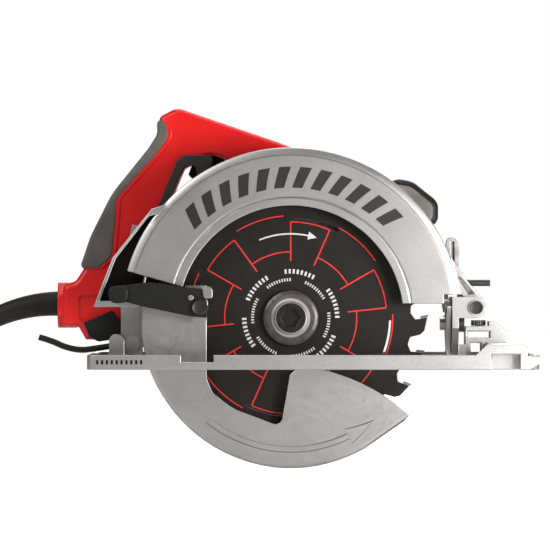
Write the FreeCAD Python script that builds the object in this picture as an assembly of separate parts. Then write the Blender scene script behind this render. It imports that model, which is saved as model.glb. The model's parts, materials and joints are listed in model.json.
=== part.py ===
import FreeCAD, Part
import math
import os

# Circular saw with the blade on the right. Millimetres; +X is the cutting direction and +Z is up. The blade is
# in the plane y = 0 with its outer side towards -Y. The origin is on the sole plane, under the arbor.

# Blade and arbor
BLADE_DIAMETER = 184.0
BLADE_TEETH = 24
BLADE_BODY = 1.8
KERF = 2.4
GULLET_DEPTH = 12.0
TOOTH_LEAN = 0.0875
ARBOR_Z = 33.75
ARBOR_HOLE_RADIUS = 7.94
FLANGE_RADIUS = 18.3
FLANGE_THICKNESS = 3.4
BOLT_HEAD_RADIUS = 10.6
BOLT_HEAD_HEIGHT = 5.0
BOLT_SHANK_RADIUS = 4.0

# Upper guard casting
GUARD_RADIUS = 113.3
GUARD_OPENING_RADIUS = 74.7
GUARD_WALL = 2.5
GUARD_RIGHT_Y = -14.0
GUARD_LEFT_Y = 13.0
GUARD_FRONT_Z = 43.3
GUARD_CHAMFER = (6.6, 3.0)
GUARD_STEP_RADIUS = 81.0
GUARD_STEP_DEPTH = 0.6
GUARD_GROOVE = 1.0
GUARD_REAR_ANGLE = 164.0
RIM_REAR_ANGLE = 141.0

# Lower guard
LOWER_RADIUS = 100.0
LOWER_HALF_WIDTH = 9.5
LOWER_WALL = 2.0
LOWER_EDGE_RADIUS = 3.0
LOWER_REAR_ANGLE = 172.0
LOWER_CHORD_ANGLE = 300.0
LOWER_TIP = (78.8, -31.0)
LOWER_WINDOW_X = -55.9
HUB_BORE_RADIUS = 25.0
HUB_RADIUS = 32.0
LEVER_THICKNESS = 4.5

# Gear case and drive
GEAR_TEETH = 47
PINION_TEETH = 9
GEAR_MODULE = 1.1
PRESSURE_ANGLE = 25.0
ADDENDUM = 0.8
DEDENDUM = 1.05
BACKLASH = 0.12
GEAR_WIDTH = 8.0
MOTOR_ANGLE = 105.0
CASE_WALL = 2.0
CASE_LEFT_Y = 32.0
SPINDLE_RADIUS = 8.0

# Motor
HOUSING_RADIUS = 46.0
HOUSING_WALL = 3.0
HOUSING_TO_FOOT = 1.5
HOUSING_END_Y = 112.0
CAP_END_Y = 136.0
CORE_Y = (50.0, 90.0)
SHAFT_RADIUS = 5.0

# Rear handle, in two shells that meet on its middle plane; its right side stands clear of the depth lever
DEPTH_LEVER_END_Y = 24.0
HANDLE_RIGHT_Y = DEPTH_LEVER_END_Y + 1.0
HANDLE_HALF_WIDTH = 17.0
HANDLE_MIDDLE_Y = HANDLE_RIGHT_Y + HANDLE_HALF_WIDTH
HANDLE_WALL = 3.0

# Foot
FOOT_REAR_X = -134.2
FOOT_FRONT_X = 163.5
FOOT_RIGHT_Y = -46.0
FOOT_LEFT_Y = 98.0
FOOT_PLATE = 3.5
FOOT_EDGE = 9.7
FOOT_EDGE_WALL = 3.0
SLOT_X = (-104.0, 98.0)
SLOT_Y = (-22.0, 21.0)
DECK_X = (131.5, 152.0)
DECK_Z = 16.7

# Pivots
BEVEL_AXIS_Z = 4.0
DEPTH_PIVOT = (123.1, 40.7)
PIVOT_PIN_RADIUS = 3.0
BEVEL_PIN_RADIUS = 2.5
KNUCKLE_RADIUS = 4.0
QUADRANT_X = (103.5, 106.3)
CLAMP_RADIUS = 35.0
CLAMP_ANGLE = 48.0
BEVEL_TRAVEL = 50.0
DEPTH_TRAVEL = 18.0
ARC_RADIUS = 230.0
ARC_HALF_WIDTH = 6.0
ARC_BOLT_Z = 17.0
CLAMP_BOLT_RADIUS = 3.0

# Case and handle screws
SCREW_SHANK = 2.0
SCREW_HEAD = 3.7
SCREW_HEAD_HEIGHT = 1.6

# Clearances
RUNNING = 0.05
PART_GAP = 0.3

# Mains lead
CORD_RADIUS = 4.5
CORD_TURN_PITCH = 9.1
COIL_MIDDLE_RADIUS = 53.5
BOOT_RADII = (8.5, 6.4)
BOOT_BEND_RADIUS = 100.0
BOOT_BEND = 32.0
BOOT_START = (-157.0, 43.0)
BOOT_STUB = 9.5

# Values worked out from the sizes above
BLADE_RADIUS = BLADE_DIAMETER / 2
ARBOR = (0.0, ARBOR_Z)
FLOOR_Z = ARBOR_Z - LOWER_RADIUS
GEAR_CENTRES = (GEAR_TEETH + PINION_TEETH) * GEAR_MODULE / 2
MOTOR = (
    GEAR_CENTRES * math.cos(math.radians(MOTOR_ANGLE)),
    ARBOR_Z + GEAR_CENTRES * math.sin(math.radians(MOTOR_ANGLE)),
)
GEAR_TIP = (GEAR_TEETH / 2 + ADDENDUM) * GEAR_MODULE
BLADE_FACE = BLADE_BODY / 2
TIP_SEAT = (BLADE_RADIUS - 1.0, BLADE_RADIUS - 5.5)
ARC_BOLT = (DEPTH_PIVOT[0] - math.sqrt(ARC_RADIUS**2 - (DEPTH_PIVOT[1] - ARC_BOLT_Z) ** 2), ARC_BOLT_Z)
CORD_FLOOR_Z = FLOOR_Z + CORD_RADIUS


def vector(x, y, z):
    return FreeCAD.Vector(x, y, z)


def polar(radius, angle, centre=ARBOR):
    """The point at an angle in degrees about a centre, from the first axis towards the second."""
    turn = math.radians(angle)
    return (centre[0] + radius * math.cos(turn), centre[1] + radius * math.sin(turn))


def on_y(a, b, y):
    return vector(a, y, b)


def on_x(a, b, x):
    return vector(x, a, b)


def on_z(a, b, z):
    return vector(a, b, z)


def block(x, y, z):
    """A box from three (low, high) spans."""
    return Part.makeBox(x[1] - x[0], y[1] - y[0], z[1] - z[0], vector(x[0], y[0], z[0]))


def rod_y(radius, y, centre=ARBOR):
    return Part.makeCylinder(radius, y[1] - y[0], vector(centre[0], y[0], centre[1]), vector(0, 1, 0))


def rod_x(radius, x, centre):
    return Part.makeCylinder(radius, x[1] - x[0], vector(x[0], centre[0], centre[1]), vector(1, 0, 0))


def rod_z(radius, z, centre):
    return Part.makeCylinder(radius, z[1] - z[0], vector(centre[0], centre[1], z[0]), vector(0, 0, 1))


def ring_y(outer, inner, y, centre=ARBOR):
    return rod_y(outer, y, centre).cut(rod_y(inner, y, centre))


def joined(*shapes):
    return shapes[0].multiFuse(list(shapes[1:])).removeSplitter()


def without(shape, *tools):
    return shape.cut(list(tools))


def rounded(corners):
    """The runs and arcs round a closed outline; a corner's third value is its radius."""
    steps = []
    for i, corner in enumerate(corners):
        here = vector(corner[0], corner[1], 0)
        radius = corner[2] if len(corner) > 2 else 0.0
        before = vector(*corners[i - 1][:2], 0) - here
        after = vector(*corners[(i + 1) % len(corners)][:2], 0) - here
        if radius == 0.0:
            steps.append((here, None, here))
            continue
        half = before.getAngle(after) / 2
        before.normalize()
        after.normalize()
        reach = radius / math.tan(half)
        inwards = (before + after).normalize()
        middle = here + inwards * (radius / math.sin(half) - radius)
        steps.append((here + before * reach, middle, here + after * reach))
    return steps


def outline(corners, place, level):
    """A closed wire through the corners on the plane that place and level give."""
    steps = rounded(corners)
    edges = []
    for i, (start, middle, end) in enumerate(steps):
        if middle is not None:
            through = [place(p.x, p.y, level) for p in (start, middle, end)]
            edges.append(Part.Arc(*through).toShape())
        following = steps[(i + 1) % len(steps)][0]
        if end.distanceToPoint(following) > 1e-6:
            ends = [place(p.x, p.y, level) for p in (end, following)]
            edges.append(Part.LineSegment(*ends).toShape())
    return Part.Wire(edges)


def plate(corners, place, span):
    """The outline's face, thickened over a (low, high) span along its normal axis."""
    face = Part.Face(outline(corners, place, span[0]))
    return face.extrude(place(0, 0, span[1]) - place(0, 0, span[0]))


def plate_y(corners, y):
    return plate(corners, on_y, y)


def plate_x(corners, x):
    return plate(corners, on_x, x)


def plate_z(corners, z):
    return plate(corners, on_z, z)


def sector(outer, inner, angles, span, centre=ARBOR, place=on_y):
    """Part of a ring between two angles."""
    start, end = angles
    middle = (start + end) / 2
    a, b, c = (place(*polar(outer, t, centre), span[0]) for t in (start, middle, end))
    d, e, f = (place(*polar(inner, t, centre), span[0]) for t in (end, middle, start))
    edges = [
        Part.Arc(a, b, c).toShape(),
        Part.LineSegment(c, d).toShape(),
        Part.Arc(d, e, f).toShape(),
        Part.LineSegment(f, a).toShape(),
    ]
    return Part.Face(Part.Wire(edges)).extrude(place(0, 0, span[1]) - place(0, 0, span[0]))


def slot_about(radius, half_width, angles, span, centre, place=on_y):
    """A curved slot with round ends."""
    parts = [sector(radius + half_width, radius - half_width, angles, span, centre, place)]
    direction = place(0, 0, 1)
    for angle in angles:
        end = place(*polar(radius, angle, centre), span[0])
        parts.append(Part.makeCylinder(half_width, span[1] - span[0], end, direction))
    return joined(*parts)


def screw_y(centre, y, head_radius, shank_radius, head_height):
    """A cap screw along +Y whose head sits at the low end, with a cross recess."""
    head = rod_y(head_radius, (y[0], y[0] + head_height), centre)
    shank = rod_y(shank_radius, (y[0] + head_height, y[1]), centre)
    depth = (y[0] - 1, y[0] + head_height * 0.5)
    arm = head_radius * 0.6
    bar = head_radius * 0.15
    across = block((centre[0] - arm, centre[0] + arm), depth, (centre[1] - bar, centre[1] + bar))
    along = block((centre[0] - bar, centre[0] + bar), depth, (centre[1] - arm, centre[1] + arm))
    return without(joined(head, shank), across, along)


def hexagon(across, centre, turn=0.0):
    corner = across / math.sqrt(3)
    return [polar(corner, turn + 60 * i, centre) for i in range(6)]


# Blade ---------------------------------------------------------------------------------------------------------


def tooth_face(radius, start):
    """A point on the forward-leaning front face of the tooth at the angle start."""
    return polar(radius, start + TOOTH_LEAN * (radius - BLADE_RADIUS + 1.0))


def blade():
    """The blade's body; each tooth leans forward into the turn, which runs with rising angle."""
    pitch = 360.0 / BLADE_TEETH
    gullet = BLADE_RADIUS - GULLET_DEPTH
    corners = []
    for i in range(BLADE_TEETH):
        start = i * pitch
        corners += [tooth_face(radius, start) for radius in (*TIP_SEAT, gullet + 3.0)]
        corners.append((*polar(gullet, start + 2.2), 2.0))
        corners.append((*polar(gullet + 0.5, start + 5.8), 2.0))
        corners.append((*polar(gullet + 7.0, start + 7.6), 1.5))
        corners.append(polar(BLADE_RADIUS - 2.5, start + 9.5))
    body = plate_y(corners, (-BLADE_FACE, BLADE_FACE))
    cuts = [rod_y(ARBOR_HOLE_RADIUS, (-2, 2))]
    for i in range(4):
        cuts.append(slot_about(BLADE_RADIUS * 0.72, 0.7, (62 + 90 * i, 88 + 90 * i), (-2, 2), ARBOR))
    return without(body, *cuts)


def blade_tips():
    """One carbide tip in front of each tooth."""
    pitch = 360.0 / BLADE_TEETH
    tips = []
    for i in range(BLADE_TEETH):
        start = i * pitch
        seat = [tooth_face(radius, start) for radius in TIP_SEAT]
        corners = [*seat, polar(TIP_SEAT[1], start + 0.8), polar(BLADE_RADIUS, start + 1.3)]
        tips.append(plate_y(corners, (-KERF / 2, KERF / 2)))
    return tips


# Spindle and gears ---------------------------------------------------------------------------------------------


def involute_gear(teeth, phase, y, centre, bore):
    """A spur gear whose tooth number 0 points at the angle phase."""
    pitch_radius = teeth * GEAR_MODULE / 2
    base = pitch_radius * math.cos(math.radians(PRESSURE_ANGLE))
    tip = pitch_radius + ADDENDUM * GEAR_MODULE
    root = pitch_radius - DEDENDUM * GEAR_MODULE
    pressure = math.radians(PRESSURE_ANGLE)
    half_tooth = (math.pi * GEAR_MODULE / 2 - BACKLASH) / 2 / pitch_radius
    half_at_base = half_tooth + math.tan(pressure) - pressure
    start = max(base, root)
    flank = []
    for i in range(5):
        radius = start + (tip - start) * i / 4
        roll = math.sqrt(max((radius / base) ** 2 - 1, 0.0))
        flank.append((radius, half_at_base - (roll - math.atan(roll))))
    corners = []
    for i in range(teeth):
        middle = phase + 360.0 * i / teeth
        half_gap = 180.0 / teeth
        side = [(root, math.degrees(flank[0][1])), *((r, math.degrees(a)) for r, a in flank)]
        corners.append(polar(root, middle - half_gap, centre))
        corners += [polar(r, middle - a, centre) for r, a in side]
        corners += [polar(r, middle + a, centre) for r, a in side[::-1]]
    return without(plate_y(corners, y), rod_y(bore, (y[0] - 1, y[1] + 1), centre))


GEAR_Y = (16.0, 16.0 + GEAR_WIDTH)
PINION_Y = (GEAR_Y[0] - 0.5, GEAR_Y[1] + 0.5)
CAVITY_Y = (15.0, 25.0)
BEARING_WIDTH = 6.0
FRONT_BEARING_Y = (7.0, 7.0 + BEARING_WIDTH)
REAR_BUSH_Y = (25.3, 30.3)
BUSH_RADII = (8.0, 6.0)
FRONT_BEARING_RADII = (16.0, SPINDLE_RADIUS)
MOTOR_BEARING_RADII = (11.0, SHAFT_RADIUS)
MOTOR_BEARING_YS = ((25.3, 31.3), (114.5, 120.5))


def spindle():
    nose = rod_y(ARBOR_HOLE_RADIUS - RUNNING, (-BLADE_FACE, BLADE_FACE + FLANGE_THICKNESS))
    body = rod_y(SPINDLE_RADIUS, (BLADE_FACE + FLANGE_THICKNESS, GEAR_Y[1]))
    tail = rod_y(BUSH_RADII[1] - RUNNING, (GEAR_Y[1], REAR_BUSH_Y[1]))
    thread = rod_y(BOLT_SHANK_RADIUS, (-5, 14))
    return without(joined(nose, body, tail), thread)


def inner_flange():
    y = (BLADE_FACE, BLADE_FACE + FLANGE_THICKNESS)
    relief = ring_y(FLANGE_RADIUS - 4, ARBOR_HOLE_RADIUS, (y[0], y[0] + 0.6))
    return without(ring_y(FLANGE_RADIUS, ARBOR_HOLE_RADIUS, y), relief)


def outer_flange():
    face = -BLADE_FACE
    body = rod_y(FLANGE_RADIUS, (face - FLANGE_THICKNESS, face))
    slope = Part.makeCone(
        FLANGE_RADIUS, FLANGE_RADIUS - 3, 2.0, vector(0, face - FLANGE_THICKNESS, ARBOR_Z), vector(0, -1, 0)
    )
    hole = rod_y(BOLT_SHANK_RADIUS + 0.1, (face - 8, face + 1))
    seat = rod_y(BOLT_HEAD_RADIUS + 0.2, (face - 8, face - FLANGE_THICKNESS))
    return without(joined(body, slope), hole, seat)


def blade_bolt():
    seat = -BLADE_FACE - FLANGE_THICKNESS
    head = rod_y(BOLT_HEAD_RADIUS, (seat - BOLT_HEAD_HEIGHT, seat))
    socket = plate_y(hexagon(12.0, ARBOR), (seat - BOLT_HEAD_HEIGHT - 1, seat - 1.5))
    shank = rod_y(BOLT_SHANK_RADIUS, (seat, 13.5))
    return without(joined(head, shank), socket)


def bearing(radii, y, centre, inner):
    """One race of a bearing: the outer half, or the inner half that turns with the shaft."""
    outer_radius, bore = radii
    split = (outer_radius + bore) / 2
    if inner:
        return ring_y(split - RUNNING, bore, y, centre)
    return ring_y(outer_radius, split, y, centre)


def spindle_bearing_inners():
    return [bearing(FRONT_BEARING_RADII, FRONT_BEARING_Y, ARBOR, True)]


def bearing_outers():
    outers = [
        bearing(FRONT_BEARING_RADII, FRONT_BEARING_Y, ARBOR, False),
        ring_y(BUSH_RADII[0], BUSH_RADII[1], REAR_BUSH_Y),
    ]
    return outers + [bearing(MOTOR_BEARING_RADII, y, MOTOR, False) for y in MOTOR_BEARING_YS]


def motor_bearing_inners():
    return [bearing(MOTOR_BEARING_RADII, y, MOTOR, True) for y in MOTOR_BEARING_YS]


def armature_shaft():
    shaft = rod_y(SHAFT_RADIUS, (MOTOR_BEARING_YS[0][0], MOTOR_BEARING_YS[1][1]), MOTOR)
    journal = rod_y(3.6, (PINION_Y[0] - 0.3, MOTOR_BEARING_YS[0][0]), MOTOR)
    pinion = involute_gear(PINION_TEETH, MOTOR_ANGLE + 180, PINION_Y, MOTOR, 1.0)
    return joined(shaft, journal, pinion)


def armature_core():
    core = ring_y(23.5, SHAFT_RADIUS, CORE_Y, MOTOR)
    slots = []
    for i in range(12):
        x, z = polar(20.0, 30 * i, MOTOR)
        slots.append(rod_y(2.2, (CORE_Y[0] - 1, CORE_Y[1] + 1), (x, z)))
        mouth = polar(22.6, 30 * i, MOTOR)
        slots.append(rod_y(1.0, (CORE_Y[0] - 1, CORE_Y[1] + 1), mouth))
    return without(core, *slots)


def armature_windings():
    ends = []
    for y in ((CORE_Y[0] - 5, CORE_Y[0]), (CORE_Y[1], CORE_Y[1] + 5)):
        ends.append(ring_y(21.0, SHAFT_RADIUS, y, MOTOR))
    return ends


COMMUTATOR_RADIUS = 12.5
COMMUTATOR_Y = (97.0, 109.0)


def commutator():
    drum = ring_y(COMMUTATOR_RADIUS, SHAFT_RADIUS, COMMUTATOR_Y, MOTOR)
    riser = ring_y(COMMUTATOR_RADIUS + 1.5, SHAFT_RADIUS, (COMMUTATOR_Y[0] - 2, COMMUTATOR_Y[0]), MOTOR)
    return joined(drum, riser)


FAN_RADIUS = 38.0
FAN_Y = (33.5, 42.0)


def cooling_fan():
    hub = ring_y(9.0, SHAFT_RADIUS, FAN_Y, MOTOR)
    disc = ring_y(FAN_RADIUS, SHAFT_RADIUS, (FAN_Y[0], FAN_Y[0] + 1.6), MOTOR)
    parts = [hub, disc]
    for i in range(11):
        vane = block((MOTOR[0] + 14, MOTOR[0] + FAN_RADIUS - 0.5), FAN_Y, (MOTOR[1] - 0.7, MOTOR[1] + 0.7))
        vane.rotate(vector(MOTOR[0], 0, MOTOR[1]), vector(0, 1, 0), 360 / 11 * i)
        parts.append(vane)
    return joined(*parts)


# Upper guard, gear case and motor ------------------------------------------------------------------------------

CHUTE = [(-83.9, 109.0), (-92.5, 106.3), (-118.5, 73.7), (-131.2, 41.0), (-100.5, 41.0)]
ARC_LUG_Y = (GUARD_LEFT_Y - GUARD_WALL, GUARD_LEFT_Y + 0.5)
ARM_Y = (-9.0, 9.0)
PIVOT_LUG_RADIUS = 7.0


def chip_chute():
    """The discharge hood behind the guard: a back wall and a raised edge, open to the right."""
    y = (-12.0, GUARD_LEFT_Y)
    centre = (-104.0, 70.0)
    hood = plate_y(CHUTE, y)
    inset = [(centre[0] + (x - centre[0]) * 0.84, centre[1] + (z - centre[1]) * 0.86) for x, z in CHUTE]
    hollow = plate_y(inset, (y[0] - 1, y[1] - GUARD_WALL))
    return without(hood, hollow)


def front_arm():
    """The arm that carries the guard casting on the depth pivot, with a relief cut in its right side."""
    corners = [(106.0, 75.0), (117.5, 58.3), (128.9, 45.0), (117.0, 45.0), (112.0, 49.6), (100.0, 49.6)]
    relief = [(110.4, 61.2), (113.2, 60.2), (121.8, 49.9), (118.8, 49.4)]
    return without(plate_y(corners, ARM_Y), plate_y(relief, (ARM_Y[0] - 1, ARM_Y[0] + 5)))


def swept_about_arbor(section, angles):
    """A section of (radius, y) corners turned about the arbor from one angle to another."""
    corners = [vector(radius, y, ARBOR_Z) for radius, y in section]
    face = Part.Face(Part.makePolygon([*corners, corners[0]]))
    middle = vector(ARBOR[0], 0, ARBOR[1])
    face.rotate(middle, vector(0, -1, 0), angles[0])
    return face.revolve(middle, vector(0, -1, 0), angles[1] - angles[0])


def guard_face(rim_end_y):
    """The section of the right wall: a stepped opening edge, a chamfered rim and a thickened corner."""
    face_y = GUARD_RIGHT_Y
    back_y = face_y + GUARD_WALL
    step = GUARD_STEP_RADIUS
    rim_inner = GUARD_RADIUS - GUARD_WALL
    return [
        (GUARD_OPENING_RADIUS, face_y + GUARD_STEP_DEPTH),
        (step - GUARD_GROOVE, face_y + GUARD_STEP_DEPTH),
        (step - GUARD_GROOVE, face_y + GUARD_STEP_DEPTH * 2),
        (step, face_y + GUARD_STEP_DEPTH * 2),
        (step, face_y),
        (GUARD_RADIUS - GUARD_CHAMFER[0], face_y),
        (GUARD_RADIUS, face_y + GUARD_CHAMFER[1]),
        (GUARD_RADIUS, rim_end_y),
        (rim_inner, rim_end_y),
        (rim_inner, back_y + 1.5),
        (rim_inner - 4.0, back_y),
        (GUARD_OPENING_RADIUS, back_y),
    ]


def arc_clamp_lug():
    """The tongue behind the guard that the depth arc's bolt goes through."""
    x, z = ARC_BOLT
    corners = [
        (x + 8.0, z + 43.0),
        (x + 8.0, z - 1.0),
        (x + 4.0, z - 7.3, 2),
        (x - 4.0, z - 7.3, 2),
        (x - 8.0, z - 1.0),
        (x - 8.0, z + 43.0),
    ]
    return plate_y(corners, ARC_LUG_Y)


def upper_guard():
    right_and_rim = swept_about_arbor(guard_face(GUARD_LEFT_Y), (0, RIM_REAR_ANGLE))
    low_rim = guard_face(GUARD_RIGHT_Y + GUARD_WALL * 2)
    rear = swept_about_arbor(low_rim, (RIM_REAR_ANGLE, GUARD_REAR_ANGLE))
    left = sector(GUARD_RADIUS, HUB_RADIUS + 2.0, (0, 180), (GUARD_LEFT_Y - GUARD_WALL, GUARD_LEFT_Y))
    shell = joined(right_and_rim, rear, left, chip_chute(), front_arm(), arc_clamp_lug())
    width = (GUARD_RIGHT_Y - 1, GUARD_LEFT_Y + 1)
    pin_hole = rod_y(PIVOT_PIN_RADIUS + RUNNING, (-12, 12), DEPTH_PIVOT)
    cuts = [
        block((0, 101.8), (width[0], 0), (0, GUARD_FRONT_Z)),
        block((101.8, 115), width, (0, 49.3)),
        rod_y(LOWER_RADIUS + 2.0, (GUARD_RIGHT_Y + GUARD_WALL, GUARD_LEFT_Y - GUARD_WALL)),
        pin_hole,
        rod_y(CLAMP_BOLT_RADIUS, (0, 20), ARC_BOLT),
    ]
    inner_face = GUARD_LEFT_Y - GUARD_WALL
    cuts += [rod_y(SCREW_SHANK, (5, 20), hole) for hole in CASE_SCREWS]
    cuts += [rod_y(SCREW_HEAD, (5, inner_face + SCREW_HEAD_HEIGHT), hole) for hole in CASE_SCREWS]
    return joined(without(shell, *cuts), without(pivot_lug(), pin_hole))


def pivot_lug():
    """The end of the arm below the guard's front edge."""
    lug = rod_y(PIVOT_LUG_RADIUS, ARM_Y, DEPTH_PIVOT)
    web = plate_y([(128.9, 45.0), (123.1, 40.7), (117.0, 45.0), (113.0, 49.4), (125.0, 49.4)], ARM_Y)
    return joined(lug, web)


LOCK_Y = 20.0
LOCK_PIN_RADIUS = 2.5
LOCK_BOSS_RADIUS = 5.0
LOCK_TRAVEL = 3.0
LOCK_BOSS_X = (GEAR_TIP + 1.0, GEAR_TIP + 7.0)
CASE_WEB_RADIUS = 38.0
CASE_SCREWS = [polar(31.0, angle, MOTOR) for angle in (10, 60, 120, 170)]
CASE_OUTER_RADIUS = GEAR_TIP + 0.6 + CASE_WALL


def gear_case():
    width = (GUARD_LEFT_Y, CASE_LEFT_Y)
    around_gear = rod_y(CASE_OUTER_RADIUS, width)
    around_motor = rod_y(CASE_WEB_RADIUS, width, MOTOR)
    flange = rod_y(HOUSING_RADIUS, (CASE_LEFT_Y - 4, CASE_LEFT_Y), MOTOR)
    spigot = rod_y(HUB_BORE_RADIUS - RUNNING, (FRONT_BEARING_Y[0] - 1.5, GUARD_LEFT_Y))
    lock_boss = rod_x(LOCK_BOSS_RADIUS, LOCK_BOSS_X, (LOCK_Y, ARBOR_Z))
    cuts = [
        rod_y(GEAR_TIP + 0.6, CAVITY_Y),
        rod_y(14.0, CAVITY_Y, MOTOR),
        rod_y(FRONT_BEARING_RADII[0], (FRONT_BEARING_Y[0], CAVITY_Y[0])),
        rod_y(SPINDLE_RADIUS + 1.5, (0, CAVITY_Y[0])),
        rod_y(BUSH_RADII[0], (CAVITY_Y[1], REAR_BUSH_Y[1])),
        rod_y(MOTOR_BEARING_RADII[0], (CAVITY_Y[1], MOTOR_BEARING_YS[0][1]), MOTOR),
        rod_y(SHAFT_RADIUS + 1.5, (CAVITY_Y[1], CASE_LEFT_Y + 1), MOTOR),
        rod_x(LOCK_PIN_RADIUS + RUNNING, (20, 60), (LOCK_Y, ARBOR_Z)),
    ]
    cuts += [rod_y(SCREW_SHANK, (0, 24), hole) for hole in CASE_SCREWS]
    return without(joined(around_gear, around_motor, flange, spigot, lock_boss), *cuts)


def case_screws():
    y = (GUARD_LEFT_Y - GUARD_WALL, 23.5)
    return [screw_y(hole, y, SCREW_HEAD - 0.1, SCREW_SHANK, SCREW_HEAD_HEIGHT) for hole in CASE_SCREWS]


def spindle_lock():
    centre = (LOCK_Y, ARBOR_Z)
    end = LOCK_BOSS_X[1] + LOCK_TRAVEL + PART_GAP
    pin = rod_x(LOCK_PIN_RADIUS, (GEAR_TIP + LOCK_TRAVEL + PART_GAP, end), centre)
    return joined(pin, rod_x(LOCK_BOSS_RADIUS, (end, end + 4.5), centre))


def motor_housing():
    shell = ring_y(HOUSING_RADIUS, HOUSING_RADIUS - HOUSING_WALL, (CASE_LEFT_Y, HOUSING_END_Y), MOTOR)
    bridge = block((-84.0, -48.0), (HANDLE_MIDDLE_Y + HANDLE_HALF_WIDTH + PART_GAP, 78.0), (30.0, 44.0))
    bridge = without(bridge, rod_y(HOUSING_RADIUS - 1, (50, 90), MOTOR))
    holes = [block((MOTOR[0] - 60, MOTOR[0] + 60), (98.5, 109.5), (MOTOR[1] - 4.5, MOTOR[1] + 4.5))]
    return without(joined(shell, bridge), *holes, *front_handle_screws())


def motor_end_cap():
    y = (HOUSING_END_Y, CAP_END_Y)
    cup = rod_y(HOUSING_RADIUS - 0.5, y, MOTOR)
    cup = cup.makeFillet(8.0, [edge for edge in cup.Edges if edge.BoundBox.YMin > y[1] - 1])
    hollow = rod_y(HOUSING_RADIUS - 4, (y[0], y[1] - 4), MOTOR)
    boss = rod_y(MOTOR_BEARING_RADII[0] + 3, (MOTOR_BEARING_YS[1][0], y[1] - 3), MOTOR)
    seat = rod_y(MOTOR_BEARING_RADII[0], (y[0], MOTOR_BEARING_YS[1][1]), MOTOR)
    vents = []
    for i in range(16):
        x = (MOTOR[0] + 20, MOTOR[0] + 32)
        vent = block(x, (y[1] - 6, y[1] + 1), (MOTOR[1] - 1.2, MOTOR[1] + 1.2))
        vent.rotate(vector(MOTOR[0], 0, MOTOR[1]), vector(0, 1, 0), 22.5 * i)
        vents.append(vent)
    return without(joined(without(cup, hollow), boss), seat, *vents)


def fan_baffle():
    return ring_y(HOUSING_RADIUS - HOUSING_WALL, 27.0, (43.5, 45.0), MOTOR)


def field_core():
    outer = HOUSING_RADIUS - HOUSING_WALL
    core = ring_y(outer, 24.3, CORE_Y, MOTOR)
    windows = []
    for angle in (60, 120, 240, 300):
        windows.append(sector(36.0, 27.0, (angle - 14, angle + 14), (CORE_Y[0] - 1, CORE_Y[1] + 1), MOTOR))
    return without(core, *windows)


def field_coils():
    coils = []
    for middle in (90, 270):
        for y in ((CORE_Y[0] - 4, CORE_Y[0]), (CORE_Y[1], CORE_Y[1] + 4)):
            coils.append(sector(36.0, 27.5, (middle - 42, middle + 42), y, MOTOR))
    return coils


BRUSH_Y = (99.5, 108.5)
BRUSH_HALF = 3.5
BRUSH_TUBE_R = (15.0, 43.5)


def along_brush(side, near, far, y, half):
    """A block on the brush line, on the front or rear side of the commutator."""
    xs = sorted((MOTOR[0] + side * near, MOTOR[0] + side * far))
    return block(xs, y, (MOTOR[1] - half, MOTOR[1] + half))


def brush_holders():
    holders = []
    for side in (-1, 1):
        tube = along_brush(side, *BRUSH_TUBE_R, (98.5, 109.5), BRUSH_HALF + 1)
        bore = along_brush(side, BRUSH_TUBE_R[0] - 1, BRUSH_TUBE_R[1] + 1, BRUSH_Y, BRUSH_HALF)
        holders.append(without(tube, bore))
    return holders


def carbon_brushes():
    inner = COMMUTATOR_RADIUS + PART_GAP
    return [along_brush(side, inner, 30.0, BRUSH_Y, BRUSH_HALF - RUNNING) for side in (-1, 1)]


def brush_springs():
    middle = sum(BRUSH_Y) / 2
    springs = []
    for side in (-1, 1):
        xs = sorted((MOTOR[0] + side * 30.0, MOTOR[0] + side * 42.5))
        springs.append(rod_x(3.0, xs, (middle, MOTOR[1])).cut(rod_x(2.2, xs, (middle, MOTOR[1]))))
    return springs


def brush_caps():
    middle = sum(BRUSH_Y) / 2
    caps = []
    for side in (-1, 1):
        xs = sorted((MOTOR[0] + side * 43.6, MOTOR[0] + side * (HOUSING_RADIUS + 1.5)))
        caps.append(rod_x(6.0, xs, (middle, MOTOR[1])))
        caps[-1] = caps[-1].common(block((-200, 200), (98.6, 109.4), (MOTOR[1] - 4.4, MOTOR[1] + 4.4)))
    return caps


# Rear handle ---------------------------------------------------------------------------------------------------

HANDLE_OUTLINE = [
    (-151.5, 27.3, 3),
    (-158.0, 31.0, 3),
    (-155.5, 55.3, 4),
    (-144.5, 58.3, 3),
    (-139.3, 66.3, 8),
    (-132.5, 88.5, 60),
    (-118.0, 116.5, 60),
    (-94.5, 145.5, 12),
    (-87.5, 157.0, 12),
    (-88.8, 168.5, 4),
    (-76.0, 175.2, 8),
    (-10.5, 152.6, 8),
    (3.0, 147.5, 3),
    (3.0, 62.0),
    (-20.0, 30.0),
    (-138.0, 27.3),
]
FINGER_HOLE = [
    (-104.0, 62.0, 8),
    (-40.0, 62.0),
    (-30.0, 100.0),
    (-30.0, 134.5, 8),
    (-53.0, 143.5, 10),
    (-77.0, 130.0, 15),
    (-91.0, 104.0, 40),
]
TRIGGER_PIVOT = (-37.0, 144.0)
TRIGGER_HALF = 7.0
TRIGGER_OUTLINE = [
    (-33.0, 148.0, 3),
    (-33.0, 140.0, 3),
    (-50.0, 134.0, 8),
    (-66.0, 126.5, 4),
    (-69.0, 130.0, 1.5),
    (-62.0, 149.0, 3),
]
TRIGGER_POCKET = [(-30.5, 151.5, 4), (-57.0, 158.0, 3), (-74.0, 134.5), (-66.0, 120.0), (-30.5, 120.0)]
SWITCH_X = (-84.0, -66.0)
SWITCH_Z = (149.5, 161.0)
SWITCH_HALF = 11.0
HANDLE_SCREWS = [(-146.5, 35.0), (-112.0, 50.0), (-121.0, 92.0), (-80.5, 167.3), (-22.0, 149.0)]
HEEL = [(-137.5, 27.0), (-118.5, 27.0, 2), (-114.0, 24.0, 3), (-121.0, 19.0, 4), (-134.0, 19.5, 5)]
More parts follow.
